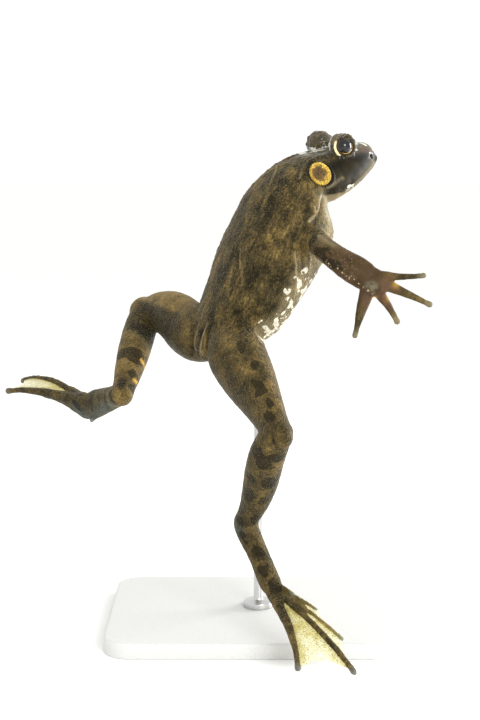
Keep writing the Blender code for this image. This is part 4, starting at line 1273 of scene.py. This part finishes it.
def skin_paint():
    """Olive-brown ground, dark marks, cream belly patches and gold granules, with painted shade in creases
    and a painted glow on the first toes.
    """
    made, tree, shader = paint("bullfrog_skin", Specular_IOR_Level=0.08, Coat_Roughness=0.15,
                               Sheen_Weight=0.16, Sheen_Roughness=0.22, Sheen_Tint=(1.0, 0.90, 0.60, 1))
    dark, pale, warm, wet = channels(tree, "markings")
    rosy, crease, gold, light = channels(tree, "tints")
    shade, dots, glow, smooth_skin = channels(tree, "tones")
    cool, calm, yellow, red = channels(tree, "touches")
    grains = grains_in(tree, SKIN_SPACING)
    tone, picked = grains["Tone"], grains["Picked"]
    rough_skin = figure("SUBTRACT", 1.0, smooth_skin)
    ragged = times_plus(tone, 0.7, -0.35)
    level = times_plus(times_plus(rough_skin, 0.7, 0.4), figure("SUBTRACT", tone, 0.5), warm)
    streaky = times(times_plus(rough_skin, 1.6, 0.3), times_plus(calm, -0.85, 1.0))
    level = times_plus(figure("SUBTRACT", grains["Streaks"], 0.5), streaky, level)
    colour = ramp(level, ((0.0, (0.018, 0.015, 0.007)), (0.35, (0.044, 0.033, 0.013)),
                          (0.62, (0.096, 0.066, 0.022)), (1.0, (0.230, 0.155, 0.050))))
    colour = wash(colour, light, 0.85, (0.36, 0.29, 0.16))
    colour = wash(colour, rosy, 0.75, (0.105, 0.052, 0.036))
    # Painted glow: yellow where light would shine through the first toes
    colour = wash(colour, yellow, 0.75, (0.50, 0.39, 0.12))
    colour = wash(colour, shade, 0.92, (0.07, 0.075, 0.03), "MULTIPLY")
    marks = step(figure("ADD", dark, ragged), 0.44, 0.54)
    colour = wash(colour, marks, 0.85, (0.016, 0.013, 0.006))
    tops = times(times(picked, rough_skin), times_plus(marks, -0.16, 0.22))
    colour = wash(colour, tops, 1.0, (0.30, 0.23, 0.09))
    cream = step(figure("ADD", pale, ragged), 0.46, 0.60)
    colour = wash(colour, cream, 0.9, (0.70, 0.66, 0.53))
    colour = wash(colour, cool, 1.0, (0.68, 1.0, 1.75), "MULTIPLY")
    colour = wash(colour, red, picked, (0.17, 0.105, 0.06))
    colour = wash(colour, glow, 1.0, (0.62, 0.36, 0.06))
    colour = wash(colour, dots, picked, (0.60, 0.50, 0.32))
    colour = wash(colour, gold, 1.0, (0.88, 0.77, 0.42))
    # Painted shade in creases, grooves and holes
    colour = wash(colour, crease, 0.85, (0.010, 0.008, 0.005))
    feed(shader.inputs["Base Color"], colour)
    feed(shader.inputs["Coat Weight"], times(wet, 0.7))
    feed(shader.inputs["Roughness"], times_plus(tone, 0.25, 0.36))
    bump(shader, times(grains["Height"], rough_skin), 0.9, 0.0006)
    return made


def web_paint():
    """Pale yellow skin that stands in for light shining through it, nearly white at the free edge, with a net
    of brown specks.
    """
    made, tree, shader = paint("toe_web", Roughness=0.4, Specular_IOR_Level=0.3)
    place = place_in(tree)
    outward = add(tree, "ShaderNodeAttribute", attribute_name="outward").outputs["Fac"]
    patches = specks(place, 220.0, 3.0)
    # Painted glow: paler towards the free edge, as if light shone through the web
    clear = figure("ADD", outward, times_plus(patches, 1.2, -0.6))
    colour = ramp(clear, ((0.0, (0.34, 0.28, 0.07)), (0.35, (0.58, 0.52, 0.20)), (0.95, (0.87, 0.84, 0.60))))
    dots = step(times_plus(outward, 0.10, specks(place, 1700.0, 2.5, 0.6)), 0.56, 0.42)
    feed(shader.inputs["Base Color"], wash(colour, dots, 0.75, (0.13, 0.085, 0.015)))
    bump(shader, patches, 0.3, 0.0006)
    return made


def eye_paint(side, sign):
    """Dark pupil with a thin gold edge below, bronze iris, all under a clear wet coat."""
    made, tree, shader = paint("eye_" + side, Roughness=0.12, Specular_IOR_Level=0.0, Coat_Weight=1.0,
                               Coat_Roughness=0.02)
    look = eye_look(sign, PUPIL_LOOK)
    ahead = square_to(HEAD_FORWARD, look)
    upright = look.cross(ahead) * -sign
    place = place_in(tree)
    centred = add(tree, "ShaderNodeVectorMath", operation="SUBTRACT")
    feed(centred.inputs[0], place)
    centred.inputs[1].default_value = eye_middle(sign) * MILLIMETRE
    reaches = []
    for way, stretch in ((ahead, 1.0), (upright, 1.06)):
        along = add(tree, "ShaderNodeVectorMath", operation="DOT_PRODUCT")
        feed(along.inputs[0], centred.outputs[0])
        along.inputs[1].default_value = way
        reaches.append(times(along.outputs["Value"], stretch / MILLIMETRE))
    low = times_plus(reaches[0], -0.35, reaches[1])
    radius = figure("SQRT", figure("ADD", *(times(reach, reach) for reach in reaches)))
    flecks = specks(place, 1900.0, 3.0, 0.7)
    rays = times_plus(flecks, 0.3, radius)
    iris = ramp(figure("DIVIDE", rays, 6.0), (
        (0.0, (0.003, 0.003, 0.005)), (0.700, (0.003, 0.003, 0.005)), (0.715, (0.045, 0.027, 0.012)),
        (0.80, (0.034, 0.020, 0.009)), (0.97, (0.022, 0.014, 0.008))))
    bronze = times(times(step(flecks, 0.50, 0.62), step(rays, 4.2, 4.4)), step(low, 1.0, -2.5))
    edge = times(times(step(rays, 4.12, 4.20), step(rays, 4.50, 4.38)), step(low, -1.6, -3.0))
    colour = wash(wash(iris, bronze, 0.5, (0.26, 0.16, 0.05)), edge, 1.0, (0.60, 0.42, 0.12))
    feed(shader.inputs["Base Color"], colour)
    return made


def ear_paint(side, sign):
    """Gold granular ring round an uneven brown centre."""
    made, tree, shader = paint("ear_drum_" + side, Specular_IOR_Level=0.25, Roughness=0.45)
    place = place_in(tree)
    away = add(tree, "ShaderNodeVectorMath", operation="DISTANCE")
    feed(away.inputs[0], place)
    away.inputs[1].default_value = (ear_frame(sign)[0] - HEAD_FORWARD + HEAD_UP * 0.4) * MILLIMETRE
    grains = grains_in(tree, EAR_SPACING)
    patches = specks(place, 550.0, 4.0, 0.7)
    radius = times_plus(patches, 4.5, times_plus(away.outputs["Value"], 1 / MILLIMETRE, -2.25))
    rings = ramp(figure("DIVIDE", radius, 7.0), (
        (0.0, (0.030, 0.022, 0.008)), (0.46, (0.052, 0.036, 0.010)), (0.58, (0.30, 0.18, 0.014)),
        (0.76, (0.74, 0.49, 0.055)), (1.0, (0.50, 0.33, 0.035))))
    bright = times(times(grains["Picked"], 0.7), step(radius, 2.6, 4.0))
    colour = wash(rings, bright, 1.0, (0.92, 0.70, 0.22))
    colour = wash(colour, step(grains["Tops"], 0.30, 0.05), 0.6, (0.16, 0.08, 0.01))
    colour = wash(colour, step(patches, 0.38, 0.31), 1.0, (0.02, 0.014, 0.004))
    feed(shader.inputs["Base Color"], colour)
    bump(shader, grains["Height"], 0.7, 0.0003)
    return made


# The animal
body = finish(body_skin(), skin_paint())
flesh = [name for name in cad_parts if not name.startswith(("stand", "eye", "tympanum"))]
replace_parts(body, *flesh)
webbing = web_paint()
for side, sign in (("right", -1), ("left", 1)):
    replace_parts(finish(eyeball(side, sign), eye_paint(side, sign)), "eye_" + side)
    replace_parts(finish(ear_drum(side, sign), ear_paint(side, sign)), "tympanum_" + side)
    finish(lid_rim(side, sign), body.data.materials[0])
    finish(webs(side), webbing)


# The stand
def stand_paint(name, colour, rough, metal, spacing):
    """Plain paint or steel, a little uneven in tone and in gloss."""
    made, tree, shader = paint(name, Metallic=metal)
    uneven = specks(place_in(tree), spacing, 3.0)
    tones = ((0.3, tuple(0.9 * value for value in colour)), (0.7, colour))
    feed(shader.inputs["Base Color"], ramp(uneven, tones))
    feed(shader.inputs["Roughness"], times_plus(uneven, 0.15, rough))
    bump(shader, uneven, 0.1, 0.0001)
    return made


def stand_base():
    """A flat plate with round corners and softened edges."""
    wide, deep, high = BASE_SIZE
    bm = bmesh.new()
    bmesh.ops.create_cube(bm, size=1.0)
    for vert in bm.verts:
        vert.co = Vector((vert.co.x * wide, vert.co.y * deep, (vert.co.z + 0.5) * high))
    corners = [edge for edge in bm.edges if abs(edge.verts[0].co.z - edge.verts[1].co.z) > 1]
    bmesh.ops.bevel(bm, geom=corners, offset=BASE_CORNER, segments=20, profile=0.5, affect="EDGES",
                    material=-1)
    rim = [edge for edge in bm.edges if all(vert.co.z > high - 0.01 for vert in edge.verts)]
    bmesh.ops.bevel(bm, geom=rim, offset=BASE_EDGE, segments=5, profile=0.5, affect="EDGES", material=-1)
    return to_object(bm, "base_plate")


def stand_rod():
    """A round rod on a low collar."""
    foot = BASE_SIZE[2] + 0.3
    profile = ((0.0, foot), (8.0, foot), (8.0, foot + 2.2), (7.8, foot + 2.7), (7.2, foot + 3.0),
               (ROD_RADIUS + 1.0, foot + 3.5), (ROD_RADIUS + 0.3, foot + 3.9), (ROD_RADIUS, foot + 4.6),
               (ROD_RADIUS, ROD_TOP - 0.4), (ROD_RADIUS - 0.4, ROD_TOP), (0.0, ROD_TOP))
    bm = bmesh.new()
    verts = [bm.verts.new((wide, 0.0, high)) for wide, high in profile]
    edges = [bm.edges.new(pair) for pair in zip(verts, verts[1:])]
    bmesh.ops.spin(bm, geom=verts + edges, cent=(0, 0, 0), axis=(0, 0, 1), angle=math.tau, steps=64,
                   use_merge=True)
    bmesh.ops.remove_doubles(bm, verts=bm.verts, dist=0.001)
    bmesh.ops.recalc_face_normals(bm, faces=bm.faces)
    bmesh.ops.translate(bm, vec=(*ROD_AT, 0.0), verts=bm.verts)
    return to_object(bm, "rod")


plate = finish(stand_base(), stand_paint("stand_base", (0.66, 0.66, 0.64), 0.42, 0.0, 900.0))
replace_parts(plate, "stand_base")
rod = finish(stand_rod(), stand_paint("stand_rod", (0.60, 0.60, 0.59), 0.22, 1.0, 400.0))
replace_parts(rod, "stand_rod")
for piece in (plate, rod):
    piece.data.set_sharp_from_angle(angle=math.radians(35))

# Floor, light and air
bm = bmesh.new()
bmesh.ops.create_circle(bm, cap_ends=True, segments=96, radius=12.0)
bmesh.ops.translate(bm, vec=(0, 0, -0.0002), verts=bm.verts)
floor = to_object(bm, "floor")
floor.data.materials.append(paint("floor", Base_Color=(0.92, 0.92, 0.91, 1), Roughness=0.8)[0])


def lamp(name, at, size, power):
    light = bpy.data.lights.new(name, "AREA")
    light.size = size
    light.energy = power
    made = bpy.data.objects.new(name, light)
    bpy.context.scene.collection.objects.link(made)
    made.location = at
    made.rotation_euler = (Vector((0, 0, 0.15)) - Vector(at)).to_track_quat("-Z", "Y").to_euler()


lamp("key", (0.42, -1.10, 0.62), 0.50, 9.5)
lamp("rim", (0.95, 0.45, 0.35), 0.5, 13.0)
world = bpy.data.worlds.new("studio")
bpy.context.scene.world = world
world.use_nodes = True
sky = next(node for node in world.node_tree.nodes if node.type == "BACKGROUND")
sky.inputs["Color"].default_value = (1.0, 1.0, 0.99, 1)
sky.inputs["Strength"].default_value = 1.08
bpy.context.scene.view_settings.view_transform = "Standard"
